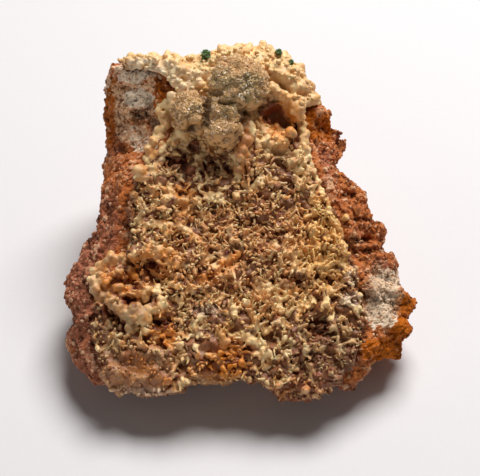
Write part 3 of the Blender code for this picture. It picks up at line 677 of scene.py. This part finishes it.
def plant(name, shape, roots, axes, lengths, widths, rng, bend=0.0, flatness=1.0):
    """Joins a copy of a small shape per root into one piece. Each copy stands along its axis, and keeps
    how far up it each point is as tip, and a number of its own as tone."""
    points, triangles = shape
    count = len(roots)
    first, second = sideways(axes, rng)
    up = points[:, 2]
    lean = first * (bend * lengths * rng.uniform(-1, 1, count))[:, None]
    placed = (
        roots[:, None]
        + points[None, :, 0, None] * (first * widths[:, None])[:, None]
        + points[None, :, 1, None] * (second * (widths * flatness)[:, None])[:, None]
        + up[None, :, None] * (axes * lengths[:, None])[:, None]
        + (up**2)[None, :, None] * lean[:, None]
    )
    faces = triangles[None] + (np.arange(count) * len(points))[:, None, None]
    mesh = bpy.data.meshes.new(name)
    mesh.from_pydata(placed.reshape(-1, 3).tolist(), [], faces.reshape(-1, 3).tolist())
    mesh.update()
    piece = bpy.data.objects.new(name, mesh)
    bpy.context.scene.collection.objects.link(piece)
    low, high = up.min(), up.max()
    set_attribute(piece, "tip", np.tile((up - low) / (high - low), count))
    set_attribute(piece, "tone", np.repeat(rng.random(count), len(points)))
    return piece


def beads_of(ridges, rng):
    """Bulbs in a row along each ridge."""
    row = []
    for radius, share, *path in ridges:
        path = np.array(path)
        passed = np.concatenate([[0], np.linalg.norm(np.diff(path, axis=0), axis=1).cumsum()])
        for at in np.arange(0, passed[-1], BEAD_STEP * radius):
            u, v = (np.interp(at, passed, path[:, side]) + rng.normal(0, BEAD_STRAY * radius) for side in (0, 1))
            row.append((u, v, radius * rng.uniform(0.8, 1.1), share))
    return row


def bulbs_on(tree, bulbs, rng):
    """Roots, directions, lengths and half widths of the knobs that each bulb on a surface is a cluster of.
    The knobs are smaller than the bulb and lie round its middle."""
    centres, radii = [], []
    for u, v, radius, share in bulbs:
        hit, normal, _, _ = tree.ray_cast(*from_camera(u, v))
        if hit is not None:
            middle = np.array(hit + normal * radius * (2 * share - 1) * MM)
            centres.append(middle + rng.normal(0, 0.33 * radius * MM, (KNOBS_IN_BULB, 3)))
            radii.append(radius * MM * rng.uniform(0.5, 0.8, KNOBS_IN_BULB))
    centres, radii = np.concatenate(centres), np.concatenate(radii)
    axes = np.tile((0.0, 0.0, 1.0), (len(centres), 1))
    return centres - axes * radii[:, None], axes, radii * 2, radii


def crystal_chance(kind, places, outward):
    """The chance that crystals of a kind stand at places on the crust: granules on its lumps, nubs at its rim
    and on its lip, and the others on its open front, each kind in its own zone."""
    if kind == "lumps":
        return faces_out(places, outward, 8) * in_zone(places, "lumpy")
    away = places - HEART
    facing = (outward * away).sum(1) / np.linalg.norm(away, axis=1)
    open_crust = smooth(facing, 0.0, 0.25) * (1 - in_zone(places, "bare of crystals"))
    if kind == "rim":
        rim = open_crust * (1 - smooth(outward @ PLANE_OUT, 0.2, 0.6))
        return np.maximum(rim, 0.8 * in_zone(places, "lip"))
    zone, size, seed, low, high = CRYSTAL_GAPS[kind]
    front = open_crust * smooth(outward @ PLANE_OUT, 0.15, 0.5) * (1 - 0.45 * in_zone(places, "dark"))
    front = front * smooth(clouds(places / MM, size, seed), low, high)
    if zone:
        return front * in_zone(places, zone)
    slender = np.maximum(in_zone(places, "needles"), in_zone(places, "blades"))
    return front * (1 - 0.85 * slender) * (1 - 0.9 * in_zone(places, "fine"))


def fan_out(centres, outward, rng, counts, spread, lean):
    """Which centre each crystal of the sprays stands on, and its direction."""
    fewest, most = counts
    which = np.repeat(np.arange(len(centres)), rng.integers(fewest, most + 1, len(centres)))
    axis = outward[which]
    first, second = sideways(axis, rng)
    turn = rng.uniform(0, 2 * np.pi, len(which))
    tilt = spread * np.sqrt(rng.random(len(which)))
    direction = axis + (first * np.cos(turn)[:, None] + second * np.sin(turn)[:, None]) * tilt[:, None]
    if lean is not None:
        direction = direction + lean
    return which, unit(direction)


def grow(base, ground, rng, name, long, wide):
    """Roots, directions, lengths and half widths of the crystals of one table of sprays on a piece. None
    reaches past the edge of the ground, as the camera sees it."""
    grown = []
    for kind, tries, apart, counts, spread, longer, wider, lean in SPRAYS[name]:
        centres, outward = scatter(base, tries, rng, lambda *at: crystal_chance(kind, *at), apart * MM)
        which, axes = fan_out(centres, outward, rng, counts, spread, lean)
        roots = centres[which]
        lengths = long * longer * np.clip(rng.lognormal(0, 0.3, len(which)), 0.5, 1.5)
        lengths *= 1 - 0.4 * in_zone(roots, "dark")
        widths = wide * wider * rng.lognormal(0, 0.25, len(which))
        # rooted about 0.35 mm beside the centre and 0.6 mm deep
        first, _ = sideways(axes, rng)
        roots = roots + (first * rng.normal(0, 0.35, (len(which), 1)) - outward[which] * 0.6) * MM
        u, v = seen_at(roots + axes * lengths[:, None])
        inside = np.array([ground.ray_cast(*from_camera(*at))[0] is not None for at in zip(u, v)])
        grown.append((roots[inside], axes[inside], lengths[inside], widths[inside]))
    return [np.concatenate(part) for part in zip(*grown)]


def of_part(crystals, inside):
    """The crystals whose roots are seen in one part of the face."""
    chosen = inside(*seen_at(crystals[0]))
    return [part[chosen] for part in crystals]


def gossan_material(settings):
    """Limonite and hematite, broken and weathered: matt and earthy, darkened in its dips and pits with oxide
    and painted shade, pale on its raised edges with dust and a painted highlight, with patches of grey quartz,
    yellow ochre and maroon hematite."""
    material, tree, shader = new_material("gossan_limonite_hematite")
    place = add(tree, "TexCoord", {}, output="Object")
    # 9 mm stains and 1.1 mm grit
    broad = add(tree, "TexNoise", {"Vector": place, "Scale": 1 / (9 * MM), "Detail": 5.0, "Roughness": 0.65})
    fine = add(tree, "TexNoise", {"Vector": place, "Scale": 1 / (1.1 * MM), "Detail": 3.0, "Roughness": 0.75})
    level = {
        key: add(tree, "Attribute", {}, output="Fac", attribute_name=key) for key in (*ROCK_COLOURS, "height", "tone")
    }
    stops = [
        (0.30, settings.maroon),
        (0.43, settings.rust),
        (0.52, settings.orange),
        (0.60, settings.rust),
        (0.72, settings.light),
    ]
    colour = add(tree, "ValToRGB", {0: broad}, stops)
    for key, low, high, amount in (
        ("maroon", 0.15, 0.45, 0.9),
        ("pale", 0.3, 0.5, 0.85),
        ("ochre", 0.12, 0.34, 1.0),
        ("quartz", 0.26, 0.36, 0.95),
        ("dull", 0.1, 0.4, 0.55),
    ):
        share = add(tree, "Math", {0: level[key], 1: fine}, operation="MULTIPLY")
        share = add(tree, "MapRange", {0: share, 1: low, 2: high, 4: amount})
        colour = add(tree, "Mix", {0: share, 6: colour, 7: getattr(settings, key)}, output=2, data_type="RGBA")
    # pale dust on the edges and on some grains, partly a painted highlight on the raised parts, and dark oxide
    # with painted shade in the dips and the pits
    raised = add(tree, "Math", {0: level["height"], 1: level["tone"]}, operation="MAXIMUM")
    raised = add(tree, "Math", {0: raised, 1: fine}, operation="ADD")
    # dust and painted highlight: the higher the surface, and on some grains, the paler
    dust = add(tree, "MapRange", {0: raised, 1: 1.12, 2: 1.5, 4: 0.65})
    clean = add(tree, "MapRange", {0: level["ochre"], 3: 1.0, 4: 0.2})
    dust = add(tree, "Math", {0: dust, 1: clean}, operation="MULTIPLY")
    # painted shade: the lower the surface, the darker
    dips = add(tree, "MapRange", {0: raised, 1: 0.88, 2: 0.52, 4: 0.7})
    pits = add(tree, "Math", {0: level["pit"], 1: fine}, operation="MULTIPLY")
    pits = add(tree, "MapRange", {0: pits, 1: 0.3, 2: 0.5})
    for share, hue in ((dust, settings.dust), (dips, settings.iron_and_shade), (pits, settings.iron_and_shade)):
        colour = add(tree, "Mix", {0: share, 6: colour, 7: hue}, output=2, data_type="RGBA")
    bump = add(tree, "Bump", {"Height": fine, "Distance": 0.3 * MM, "Strength": 1.0})
    connect(
        tree,
        shader,
        {"Base Color": colour, "Normal": bump, "Roughness": 0.92, "IOR": 1.5, "Specular IOR Level": 0.2},
    )
    return material


def crust_material(settings, crystals):
    """Waxy crystals of calcite, cream to tan and stained by limonite and hematite. On the crust itself the dips are
    maroon, partly painted shade, and the smooth lumps cream. On the crystals the colour turns from a brown root to
    a pale tip, the dark root partly painted shade."""
    material, tree, shader = new_material("calcite_crystals" if crystals else "calcite_crust")
    place = add(tree, "TexCoord", {}, output="Object")
    # 2.2 mm patches
    patchy = add(tree, "TexNoise", {"Vector": place, "Scale": 1 / (2.2 * MM), "Detail": 4.0, "Roughness": 0.6})
    patchy = add(tree, "MapRange", {0: patchy, 1: 0.33, 2: 0.62})
    own = ("tip", "tone") if crystals else ("height",)
    level = {
        key: add(tree, "Attribute", {}, output="Fac", attribute_name=key) for key in (*CRUST_COLOURS, *own)
    }
    less = add(tree, "MapRange", {0: level["smooth"], 3: 1.0, 4: 0.6})
    tan = add(tree, "Math", {0: level["tone"] if crystals else patchy, 1: less}, operation="MULTIPLY")
    colour = add(tree, "Mix", {0: tan, 6: settings.cream, 7: settings.tan}, output=2, data_type="RGBA")
    for key, hue, amount in (
        ("grey", settings.grey, 0.8),
        ("yellow", settings.yellow, 0.7),
        ("red", settings.red, 0.7),
        ("rust", settings.orange, 0.8),
        ("white", settings.white, 0.9),
        ("stain", settings.stain, 1.0),
    ):
        share = add(tree, "MapRange", {0: patchy, 3: 0.35 * amount, 4: amount})
        share = add(tree, "Math", {0: level[key], 1: share}, operation="MULTIPLY")
        colour = add(tree, "Mix", {0: share, 6: colour, 7: hue}, output=2, data_type="RGBA")
    # how much of that colour shows over the ground's: the dark ground is oxide and painted shade at the crystals'
    # roots, in the crust's dips and in the dark hollows
    if crystals:
        shown = add(tree, "MapRange", {0: level["tip"], 1: 0.05, 2: 0.5})
    else:
        raised = add(tree, "MapRange", {0: level["height"], 1: 0.15, 2: 0.5, 3: 0.4})
        shown = add(tree, "Math", {0: level["smooth"], 1: 0.25}, operation="ADD")
        shown = add(tree, "Math", {0: shown, 1: raised}, operation="MULTIPLY")
    # painted shade: in the dark hollows the ground's dark colour shows over the crystals' colour
    outside_painted_hollow_shade = add(tree, "MapRange", {0: level["dark"], 1: 0.4, 2: 0.95, 3: 1.0, 4: 0.1})
    shown = add(tree, "Math", {0: shown, 1: outside_painted_hollow_shade}, operation="MULTIPLY")
    honeyed = add(tree, "Math", {0: level["smooth"], 1: level["dark"]}, operation="SUBTRACT")
    honeyed = add(tree, "MapRange", {0: honeyed})
    ground = add(tree, "Mix", {0: honeyed, 6: settings.ground, 7: settings.honey}, output=2, data_type="RGBA")
    colour = add(tree, "Mix", {0: shown, 6: ground, 7: colour}, output=2, data_type="RGBA")
    # 0.5 mm grit
    grit = add(tree, "TexNoise", {"Vector": place, "Scale": 1 / (0.5 * MM), "Detail": 3.0})
    bump = add(tree, "Bump", {"Height": grit, "Distance": 0.15 * MM, "Strength": 0.8})
    connect(
        tree,
        shader,
        {
            "Base Color": colour,
            "Normal": bump,
            "Roughness": 0.45,
            "IOR": 1.55,
            "Specular IOR Level": 0.35,
            "Subsurface Weight": 0.3,
            "Subsurface Radius": (1.0, 0.55, 0.3),
            "Subsurface Scale": 1.0 * MM,
        },
    )
    return material


def druse_material(settings, sugar):
    """Drusy quartz: sugar-fine crystals, beige with grey-green dusting, glittering where they face the light, some
    painted white as glints. Painted shade darkens the ground in its dips and the gaps between the nodules."""
    material, tree, shader = new_material("druse_sugar" if sugar else "druse_ground")
    place = add(tree, "TexCoord", {}, output="Object")
    # 4 mm patches of dust and 1 mm grit
    broad = add(tree, "TexNoise", {"Vector": place, "Scale": 1 / (4 * MM), "Detail": 3.0})
    fine = add(tree, "TexNoise", {"Vector": place, "Scale": 1 / (1 * MM), "Detail": 4.0, "Roughness": 0.7})
    level = {
        key: add(tree, "Attribute", {}, output="Fac", attribute_name=key)
        for key in (*NODULE_COLOURS, "tone" if sugar else "height")
    }
    dust = add(tree, "Math", {0: level["dust"], 1: broad}, operation="MULTIPLY")
    dust = add(tree, "MapRange", {0: dust, 1: 0.25, 2: 0.55})
    colour = add(tree, "Mix", {0: dust, 6: settings.beige, 7: settings.green}, output=2, data_type="RGBA")
    if sugar:
        # dark specks, grey-green and pale sugar, and a painted white glint on a few crystals
        stops = [
            (0.0, settings.speck),
            (0.1, settings.speck),
            (0.3, settings.green),
            (0.7, settings.pale),
            (0.98, settings.glint),
        ]
        shade = add(tree, "ValToRGB", {0: level["tone"]}, stops)
        share = add(tree, "MapRange", {0: dust, 3: 0.3, 4: 0.7})
    else:
        # painted shade: the lower the ground, the more of the dark speck colour
        shade = settings.speck
        share = add(tree, "MapRange", {0: level["height"], 1: 0.5, 2: 0.1, 4: 0.7})
    colour = add(tree, "Mix", {0: share, 6: colour, 7: shade}, output=2, data_type="RGBA")
    # painted shade in the gaps between the nodules
    gap = add(tree, "MapRange", {0: level["gap"], 4: 0.55})
    colour = add(tree, "Mix", {0: gap, 6: colour, 7: settings.speck}, output=2, data_type="RGBA")
    bump = add(tree, "Bump", {"Height": fine, "Distance": 0.15 * MM, "Strength": 0.6})
    roughness = 0.45 if sugar else 0.55
    connect(tree, shader, {"Base Color": colour, "Normal": bump, "Roughness": roughness, "IOR": 1.54})
    return material


def malachite_material(settings):
    """Malachite in silky bladed tufts: deep green, paler at the tips, with a soft gloss."""
    material, tree, shader = new_material("malachite_tuft")
    tip = add(tree, "Attribute", {}, output="Fac", attribute_name="tip")
    colour = add(tree, "Mix", {0: tip, 6: settings.deep, 7: settings.silky}, output=2, data_type="RGBA")
    connect(tree, shader, {"Base Color": colour, "Roughness": 0.4, "IOR": 1.66})
    return material


def floor_material(settings):
    """Matt white studio paper, with a faint fibre."""
    material, tree, shader = new_material("studio_paper")
    place = add(tree, "TexCoord", {}, output="Object")
    fibre = add(tree, "TexNoise", {"Vector": place, "Scale": 1 / (1.5 * MM), "Detail": 2.0})
    colour = add(tree, "Mix", {0: fibre, 6: settings.paper, 7: settings.fibre}, output=2, data_type="RGBA")
    connect(tree, shader, {"Base Color": colour, "Roughness": 0.7, "Specular IOR Level": 0.2})
    return material


def tint(name, description, colour):
    """A colour setting whose default is an sRGB hex colour."""
    return FloatVectorProperty(
        name=name, description=description, subtype="COLOR", size=4, min=0.0, max=1.0, default=linear(colour)
    )


def length(name, description, size):
    """A length setting whose default is in mm."""
    return FloatProperty(name=name, description=description, default=size * MM, unit="LENGTH")


class RockSettings(bpy.types.PropertyGroup):
    """The rock."""

    fineness: length("Fineness", "Size of the rock's faces", 0.62)
    grain_count: IntProperty(name="Grains", description="Loose grains on the bare rock", default=7000)
    grain_size: length("Grain size", "Mean radius of a grain", 0.48)
    rust: tint("Rust", "Limonite", "#b2663a")
    orange: tint("Orange", "Fresh limonite", "#be7039")
    light: tint("Light", "Weathered limonite", "#cc9565")
    maroon: tint("Maroon", "Hematite", "#a2644b")
    pale: tint("Pale", "Bleached limonite", "#ffd9ae")
    quartz: tint("Quartz", "Grey quartz", "#f8e6cc")
    dull: tint("Dull", "Weathered quartz", "#ba9c7a")
    ochre: tint("Ochre", "Yellow ochre", "#b8610f")
    # the next two: pale dust with a painted highlight on raised parts, and dark oxide with painted shade in dips and
    # pits
    dust: tint("Dust", "Pale dust on edges", "#f0cca4")
    iron_and_shade: tint("Iron", "Dark iron in dips and pits", "#30160b")


class CrustSettings(bpy.types.PropertyGroup):
    """The crust and its crystals."""

    fineness: length("Fineness", "Size of the crust's faces", 0.5)
    crystal_fineness: length("Crystal fineness", "Size of the faces of the fused crystals", 0.29)
    finger_length: length("Finger length", "Mean length of a stubby crystal", 2.6)
    finger_width: length("Finger width", "Mean half width of a stubby crystal", 0.72)
    needle_length: length("Needle length", "Mean length of a needle", 2.3)
    needle_width: length("Needle width", "Mean half width of a needle", 0.46)
    nub_size: length("Nub size", "Mean half width of a nub", 0.42)
    knob_size: length("Knob size", "Mean half width of a round knob", 0.85)
    cream: tint("Cream", "Pale crystals", "#f6d69e")
    tan: tint("Tan", "Darker crystals", "#d89c5c")
    grey: tint("Grey", "Dusty crystals", "#a48660")
    yellow: tint("Yellow", "Honey crystals", "#f0be70")
    red: tint("Red", "Crystals stained by hematite", "#ba6e44")
    orange: tint("Orange", "Crystals stained by limonite", "#dc8424")
    white: tint("White", "White crystals", "#eadcc8")
    stain: tint("Stain", "Crystals stained by ochre", "#d07c14")
    # the ground's colour, oxide between the crystals, also serves as painted shade at their roots and in dips
    ground: tint("Ground", "Iron between the crystals", "#6e240c")
    honey: tint("Honey", "Limonite between the smooth lumps", "#ecbe80")


class NoduleSettings(bpy.types.PropertyGroup):
    """The drusy nodules."""

    fineness: length("Fineness", "Size of the nodules' faces", 0.4)
    sugar_count: IntProperty(name="Sugar", description="Sugar crystals tried", default=60000)
    sugar_size: length("Sugar size", "Mean width of a sugar crystal", 0.3)
    beige: tint("Beige", "Bare druse", "#d8a970")
    green: tint("Grey-green", "Dusted druse", "#a48c54")
    speck: tint("Speck", "Dark specks", "#47351a")
    pale: tint("Pale", "Pale sugar", "#dfbf8a")
    glint: tint("Glint", "White sugar", "#fffaf0")


class MalachiteSettings(bpy.types.PropertyGroup):
    """The malachite."""

    blades: IntProperty(name="Blades", description="Blades in a tuft", default=120)
    deep: tint("Deep", "Roots of the blades", "#28401c")
    silky: tint("Silky", "Tips of the blades", "#5f7f48")


class StageSettings(bpy.types.PropertyGroup):
    """Floor and light."""

    paper: tint("Paper", "Colour of the floor", "#dedcdd")
    fibre: tint("Fibre", "Fibres of the floor", "#dbd9da")
    softbox: FloatProperty(name="Softbox", description="Power of the soft light", default=10.7, subtype="POWER")
    reflector: FloatProperty(
        name="Reflector", description="Power of the weak light from the front", default=0.68, subtype="POWER"
    )
    fill: FloatProperty(name="Fill", description="Strength of the light from all round", default=0.05)


class SPECIMEN_OT_rock(bpy.types.Operator):
    """Builds the broken gossan rock with its loose grains"""

    bl_idname = "specimen.rock"
    bl_label = "Gossan Rock"

    def execute(self, context):
        settings = context.scene.specimen_rock
        rng = np.random.default_rng(ROCK_DRAWS)
        rock = copy_of("host_rock", "gossan_rock")
        fuse(rock, plant("lumps", model_shape(make_knob), *bulbs_on(tree_of(rock), ROCK_LUMPS, rng), rng))
        remesh(rock, settings.fineness, 6)
        before = surface_of(rock)
        off_floor = smooth(before[0][:, 2] / MM, 0.3, 1.5)
        mask(rock, "free", off_floor)
        mask(rock, "craggy", in_zone(before[0], "crags") * off_floor)
        relief(rock, "CLOUDS", 4.5, 1.8, "free", noise_depth=1)
        relief(rock, "VORONOI", 3.4, 1.9, "craggy", 0.3, weight_1=-1.0, weight_2=1.0)
        relief(rock, "CLOUDS", 1.5, 1.3, "free", noise_depth=2)
        relief(rock, "CLOUDS", 0.8, 0.7, "free", noise_depth=0)
        keep_height(rock, before, 1.6)
        sink(rock, "pits", in_zone(before[0], "pits") * off_floor, 1.5)
        paint(rock, ROCK_COLOURS, ROCK_EDGES)
        material = gossan_material(settings)
        finish_piece(rock, material, "host_rock", "host_rock")

        def bare(places, outward):
            """The chance of a grain, off the floor and not on the back."""
            return smooth(places[:, 2] / MM, 0.8, 2.0) * smooth(outward @ PLANE_OUT, -0.6, -0.2)

        places, outward = scatter(rock, settings.grain_count * 3, rng, bare, settings.grain_size)
        places, outward = places[: settings.grain_count], outward[: settings.grain_count]
        size = settings.grain_size * rng.lognormal(0, 0.35, len(places))
        grain = model_shape(make_grain)
        grains = plant("gossan_grains", grain, places, outward, size * 0.8, size, rng, flatness=0.8)
        paint(grains, ROCK_COLOURS, ROCK_EDGES)
        finish_piece(grains, material, "host_rock")
        return {"FINISHED"}


class SPECIMEN_OT_crust(bpy.types.Operator):
    """Builds the crust and the crystals that stand on it"""

    bl_idname = "specimen.crust"
    bl_label = "Crystal Crust"

    def execute(self, context):
        settings = context.scene.specimen_crust
        rng = np.random.default_rng(CRUST_DRAWS)
        crust, calm = self.shape_crust(settings)
        finish_piece(crust, crust_material(settings, False), "crystal_crust", "crystal_crust", rounded=True)
        ground = tree_of(calm)
        wax = crust_material(settings, True)
        finger, needle = model_shape(make_finger), model_shape(make_needle)
        nub, knob = model_shape(make_nub), model_shape(make_knob)

        crystals = grow(calm, ground, rng, "crystals", settings.finger_length, settings.finger_width)
        knobs = grow(calm, ground, rng, "knobs", settings.knob_size, settings.knob_size)
        body = tree_of(calm, bpy.data.objects["gossan_rock"])
        bulbs = bulbs_on(body, CRUST_BULBS + beads_of(CRUST_RIDGES, rng), rng)
        knobs = [np.concatenate(part) for part in zip(knobs, bulbs)]
        for part, inside in CORAL_ZONES.items():
            placed = of_part(crystals, inside)
            coral = plant("crust_crystals_" + part, finger, *placed, rng, bend=0.05, flatness=0.8)
            fuse(coral, plant("knobs", knob, *of_part(knobs, inside), rng))
            self.shape_coral(coral, ground, settings)
            paint(coral, CRUST_COLOURS, CRUST_EDGES)
            finish_piece(coral, wax, "crystal_crust", rounded=True)

        # each kind of loose crystals: its shape, the piece that it grows on, length and half width
        loose = {
            "teeth": (finger, calm, settings.finger_length, settings.finger_width),
            "needles": (needle, calm, settings.needle_length, settings.needle_width),
            "nubs": (nub, calm, settings.nub_size, settings.nub_size),
            "granules": (nub, crust, settings.nub_size, settings.nub_size),
        }
        grown = {name: grow(base, ground, rng, name, *sizes) for name, (_, base, *sizes) in loose.items()}
        for name, placed in grown.items():
            piece = plant("crust_" + name, loose[name][0], *placed, rng, flatness=0.8)
            paint(piece, CRUST_COLOURS, CRUST_EDGES)
            finish_piece(piece, wax, "crystal_crust", rounded=True)
        bpy.data.objects.remove(calm)
        return {"FINISHED"}

    @staticmethod
    def shape_crust(settings):
        """The crust's ground, and a copy of it without its fine relief, for the crystals to stand on."""
        crust = copy_of("crystal_crust", "crystal_crust_ground")
        remesh(crust, settings.fineness, 4)
        points, _, normals = surface_of(crust)
        lumpy, lip = in_zone(points, "lumpy"), in_zone(points, "lip")
        outside = faces_out(points, normals, 3)
        rough = (1 - lumpy) * (1 - lip) * outside
        mask(crust, "rough", rough)
        mask(crust, "lumpy", lumpy * outside)
        mask(crust, "lip", lip * outside)
        sink(crust, "sunk", rough, 1.0)
        relief(crust, "CLOUDS", 4.6, 2.3, "rough", noise_depth=1)
        calm = crust.copy()
        calm.data = crust.data.copy()
        before = surface_of(crust)
        relief(crust, "CLOUDS", 1.3, 2.0, "rough", 0.4, noise_depth=1)
        relief(crust, "CLOUDS", 3.0, 1.6, "lumpy", noise_depth=1)
        relief(crust, "VORONOI", 2.5, -1.7, "lumpy", 0.3, distance_metric="DISTANCE_SQUARED")
        relief(crust, "CLOUDS", 0.8, 0.3, "lumpy", noise_depth=1)
        relief(crust, "CLOUDS", 1.1, 1.8, "lip", noise_depth=2)
        keep_height(crust, before, 1.4)
        sink(crust, "hollow", in_zone(before[0], "dark") * outside, 1.5)
        paint(crust, CRUST_COLOURS, CRUST_EDGES)
        return crust, calm

    @staticmethod
    def shape_coral(coral, ground, settings):
        """Fuses the crystals of one part into a single skin, with their height as tip and noise as tone."""
        modify(coral, "REMESH", mode="VOXEL", voxel_size=settings.crystal_fineness)
        relief(coral, "CLOUDS", 0.9, 0.3, noise_depth=2)
        modify(coral, "SMOOTH", factor=0.25, iterations=1)
        points, _, _ = surface_of(coral)
        rise = np.array([ground.find_nearest(point)[3] for point in points])
        set_attribute(coral, "tip", np.clip(rise / (TIP_HEIGHT * MM), 0, 1))
        set_attribute(coral, "tone", smooth(clouds(points / MM, 1.9, TONE_SEED), 0.2, 0.8))


class SPECIMEN_OT_nodules(bpy.types.Operator):
    """Builds the drusy nodules and their sugar crystals"""

    bl_idname = "specimen.nodules"
    bl_label = "Drusy Nodules"

    def execute(self, context):
        settings = context.scene.specimen_nodules
        rng = np.random.default_rng(NODULE_DRAWS)
        nodules = copy_of("drusy_nodules", "drusy_nodules_ground")
        remesh(nodules, settings.fineness, 6)
        relief(nodules, "CLOUDS", 4.0, 2.0, noise_depth=1)
        sink(nodules, "gaps", in_zone(surface_of(nodules)[0], "gaps"), 1.3)
        before = surface_of(nodules)
        relief(nodules, "VORONOI", 2.4, -1.5, middle=0.3, distance_metric="DISTANCE_SQUARED")
        relief(nodules, "CLOUDS", 1.2, 0.8, noise_depth=1)
        keep_height(nodules, before, 1.0)
        paint(nodules, NODULE_COLOURS, NODULE_EDGES)
        finish_piece(nodules, druse_material(settings, False), "drusy_nodules", "drusy_nodules", rounded=True)

        def outer(places, outward):
            """The chance of a sugar crystal, none on the side towards the rock."""
            return faces_out(places, outward, 8)

        places, outward = scatter(nodules, settings.sugar_count, rng, outer, settings.sugar_size * 0.55)
        axes = unit(outward + rng.normal(0, 0.6, outward.shape))
        size = settings.sugar_size * rng.lognormal(0, 0.25, len(places))
        sugar = plant("druse_sugar", model_shape(make_sugar), places, axes, size, size, rng)
        paint(sugar, NODULE_COLOURS, NODULE_EDGES)
        finish_piece(sugar, druse_material(settings, True), "drusy_nodules")
        return {"FINISHED"}


class SPECIMEN_OT_malachite(bpy.types.Operator):
    """Builds the malachite tufts"""

    bl_idname = "specimen.malachite"
    bl_label = "Malachite Tufts"

    def execute(self, context):
        settings = context.scene.specimen_malachite
        rng = np.random.default_rng(MALACHITE_DRAWS)
        material = malachite_material(settings)
        blade = model_shape(make_nub)
        for node in ("malachite_top", "malachite_right", "malachite_edge"):
            low, high = (np.array(corner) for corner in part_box(node))
            # the blades fan out and up from below the middle of the CAD solid's box
            reach = (high - low).max() * 0.42
            axes = unit(rng.normal(size=(settings.blades, 3)) + np.array((0, 0, 0.7)))
            roots = (low + high) / 2 + axes * reach * 0.3 - np.array((0, 0, reach * 0.25))
            lengths = reach * rng.uniform(0.4, 0.75, settings.blades)
            widths = reach * rng.uniform(0.16, 0.3, settings.blades)
            tuft = plant(node + "_tuft", blade, roots, axes, lengths, widths, rng, flatness=0.6)
            finish_piece(tuft, material, "malachite", node)
        return {"FINISHED"}


class SPECIMEN_OT_stage(bpy.types.Operator):
    """Builds the pale floor, the soft light and the camera"""

    bl_idname = "specimen.stage"
    bl_label = "Stage"

    def execute(self, context):
        settings = context.scene.specimen_stage
        bpy.ops.object.select_all(action="DESELECT")
        bpy.ops.mesh.primitive_plane_add(size=FLOOR_SIZE)
        floor = context.object
        floor.name = "floor"
        floor.data.materials.append(floor_material(settings))

        world = bpy.data.worlds.new("studio")
        context.scene.world = world
        world.use_nodes = True
        background = world.node_tree.nodes["Background"]
        background.inputs["Color"].default_value = linear(WORLD_COLOUR)
        background.inputs["Strength"].default_value = settings.fill

        for name, (colour, size, place) in LAMPS.items():
            lamp = bpy.data.lights.new(name, "AREA")
            lamp.shape = "DISK"
            lamp.size = size
            lamp.energy = getattr(settings, name)
            lamp.color = colour
            light = bpy.data.objects.new(name, lamp)
            context.scene.collection.objects.link(light)
            light.location = place
            light.rotation_euler = (LAMP_AIM - light.location).to_track_quat("-Z", "Y").to_euler()

        lens = bpy.data.cameras.new("camera")
        lens.lens = CAMERA_LENS
        lens.sensor_width = CAMERA_SENSOR
        lens.shift_y = CAMERA_SHIFT
        camera = bpy.data.objects.new("camera", lens)
        context.scene.collection.objects.link(camera)
        turn = Matrix((PLANE_RIGHT, PLANE_UP, PLANE_OUT)).transposed().to_4x4()
        camera.matrix_world = Matrix.Translation(PLANE_ORIGIN + CAMERA_DISTANCE * PLANE_OUT) @ turn
        context.scene.camera = camera
        context.scene.view_settings.view_transform = "Standard"
        return {"FINISHED"}


class SPECIMEN_PT_panel(bpy.types.Panel):
    """Lists the settings and the pieces"""

    bl_idname = "SPECIMEN_PT_panel"
    bl_label = "Crusted Gossan Specimen"
    bl_space_type = "VIEW_3D"
    bl_region_type = "UI"
    bl_category = "Specimen"

    def draw(self, context):
        for name, operator in zip(SETTINGS, OPERATORS):
            box = self.layout.box()
            group = getattr(context.scene, name)
            for field in group.bl_rna.properties.keys():
                if field not in ("rna_type", "name"):
                    box.prop(group, field)
            box.operator(operator.bl_idname)


SETTINGS = {
    "specimen_rock": RockSettings,
    "specimen_crust": CrustSettings,
    "specimen_nodules": NoduleSettings,
    "specimen_malachite": MalachiteSettings,
    "specimen_stage": StageSettings,
}
OPERATORS = (
    SPECIMEN_OT_rock,
    SPECIMEN_OT_crust,
    SPECIMEN_OT_nodules,
    SPECIMEN_OT_malachite,
    SPECIMEN_OT_stage,
)


def register():
    """Registers the settings, the operators and the panel."""
    for item in (*SETTINGS.values(), *OPERATORS, SPECIMEN_PT_panel):
        bpy.utils.register_class(item)
    for name, group in SETTINGS.items():
        setattr(bpy.types.Scene, name, PointerProperty(type=group))


def unregister():
    """Takes them away again."""
    for name in SETTINGS:
        delattr(bpy.types.Scene, name)
    for item in reversed((*SETTINGS.values(), *OPERATORS, SPECIMEN_PT_panel)):
        bpy.utils.unregister_class(item)


def main():
    """Builds every piece in order."""
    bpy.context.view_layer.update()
    register()
    bpy.ops.specimen.rock()
    bpy.ops.specimen.crust()
    bpy.ops.specimen.nodules()
    bpy.ops.specimen.malachite()
    bpy.ops.specimen.stage()


if __name__ == "__main__":
    main()
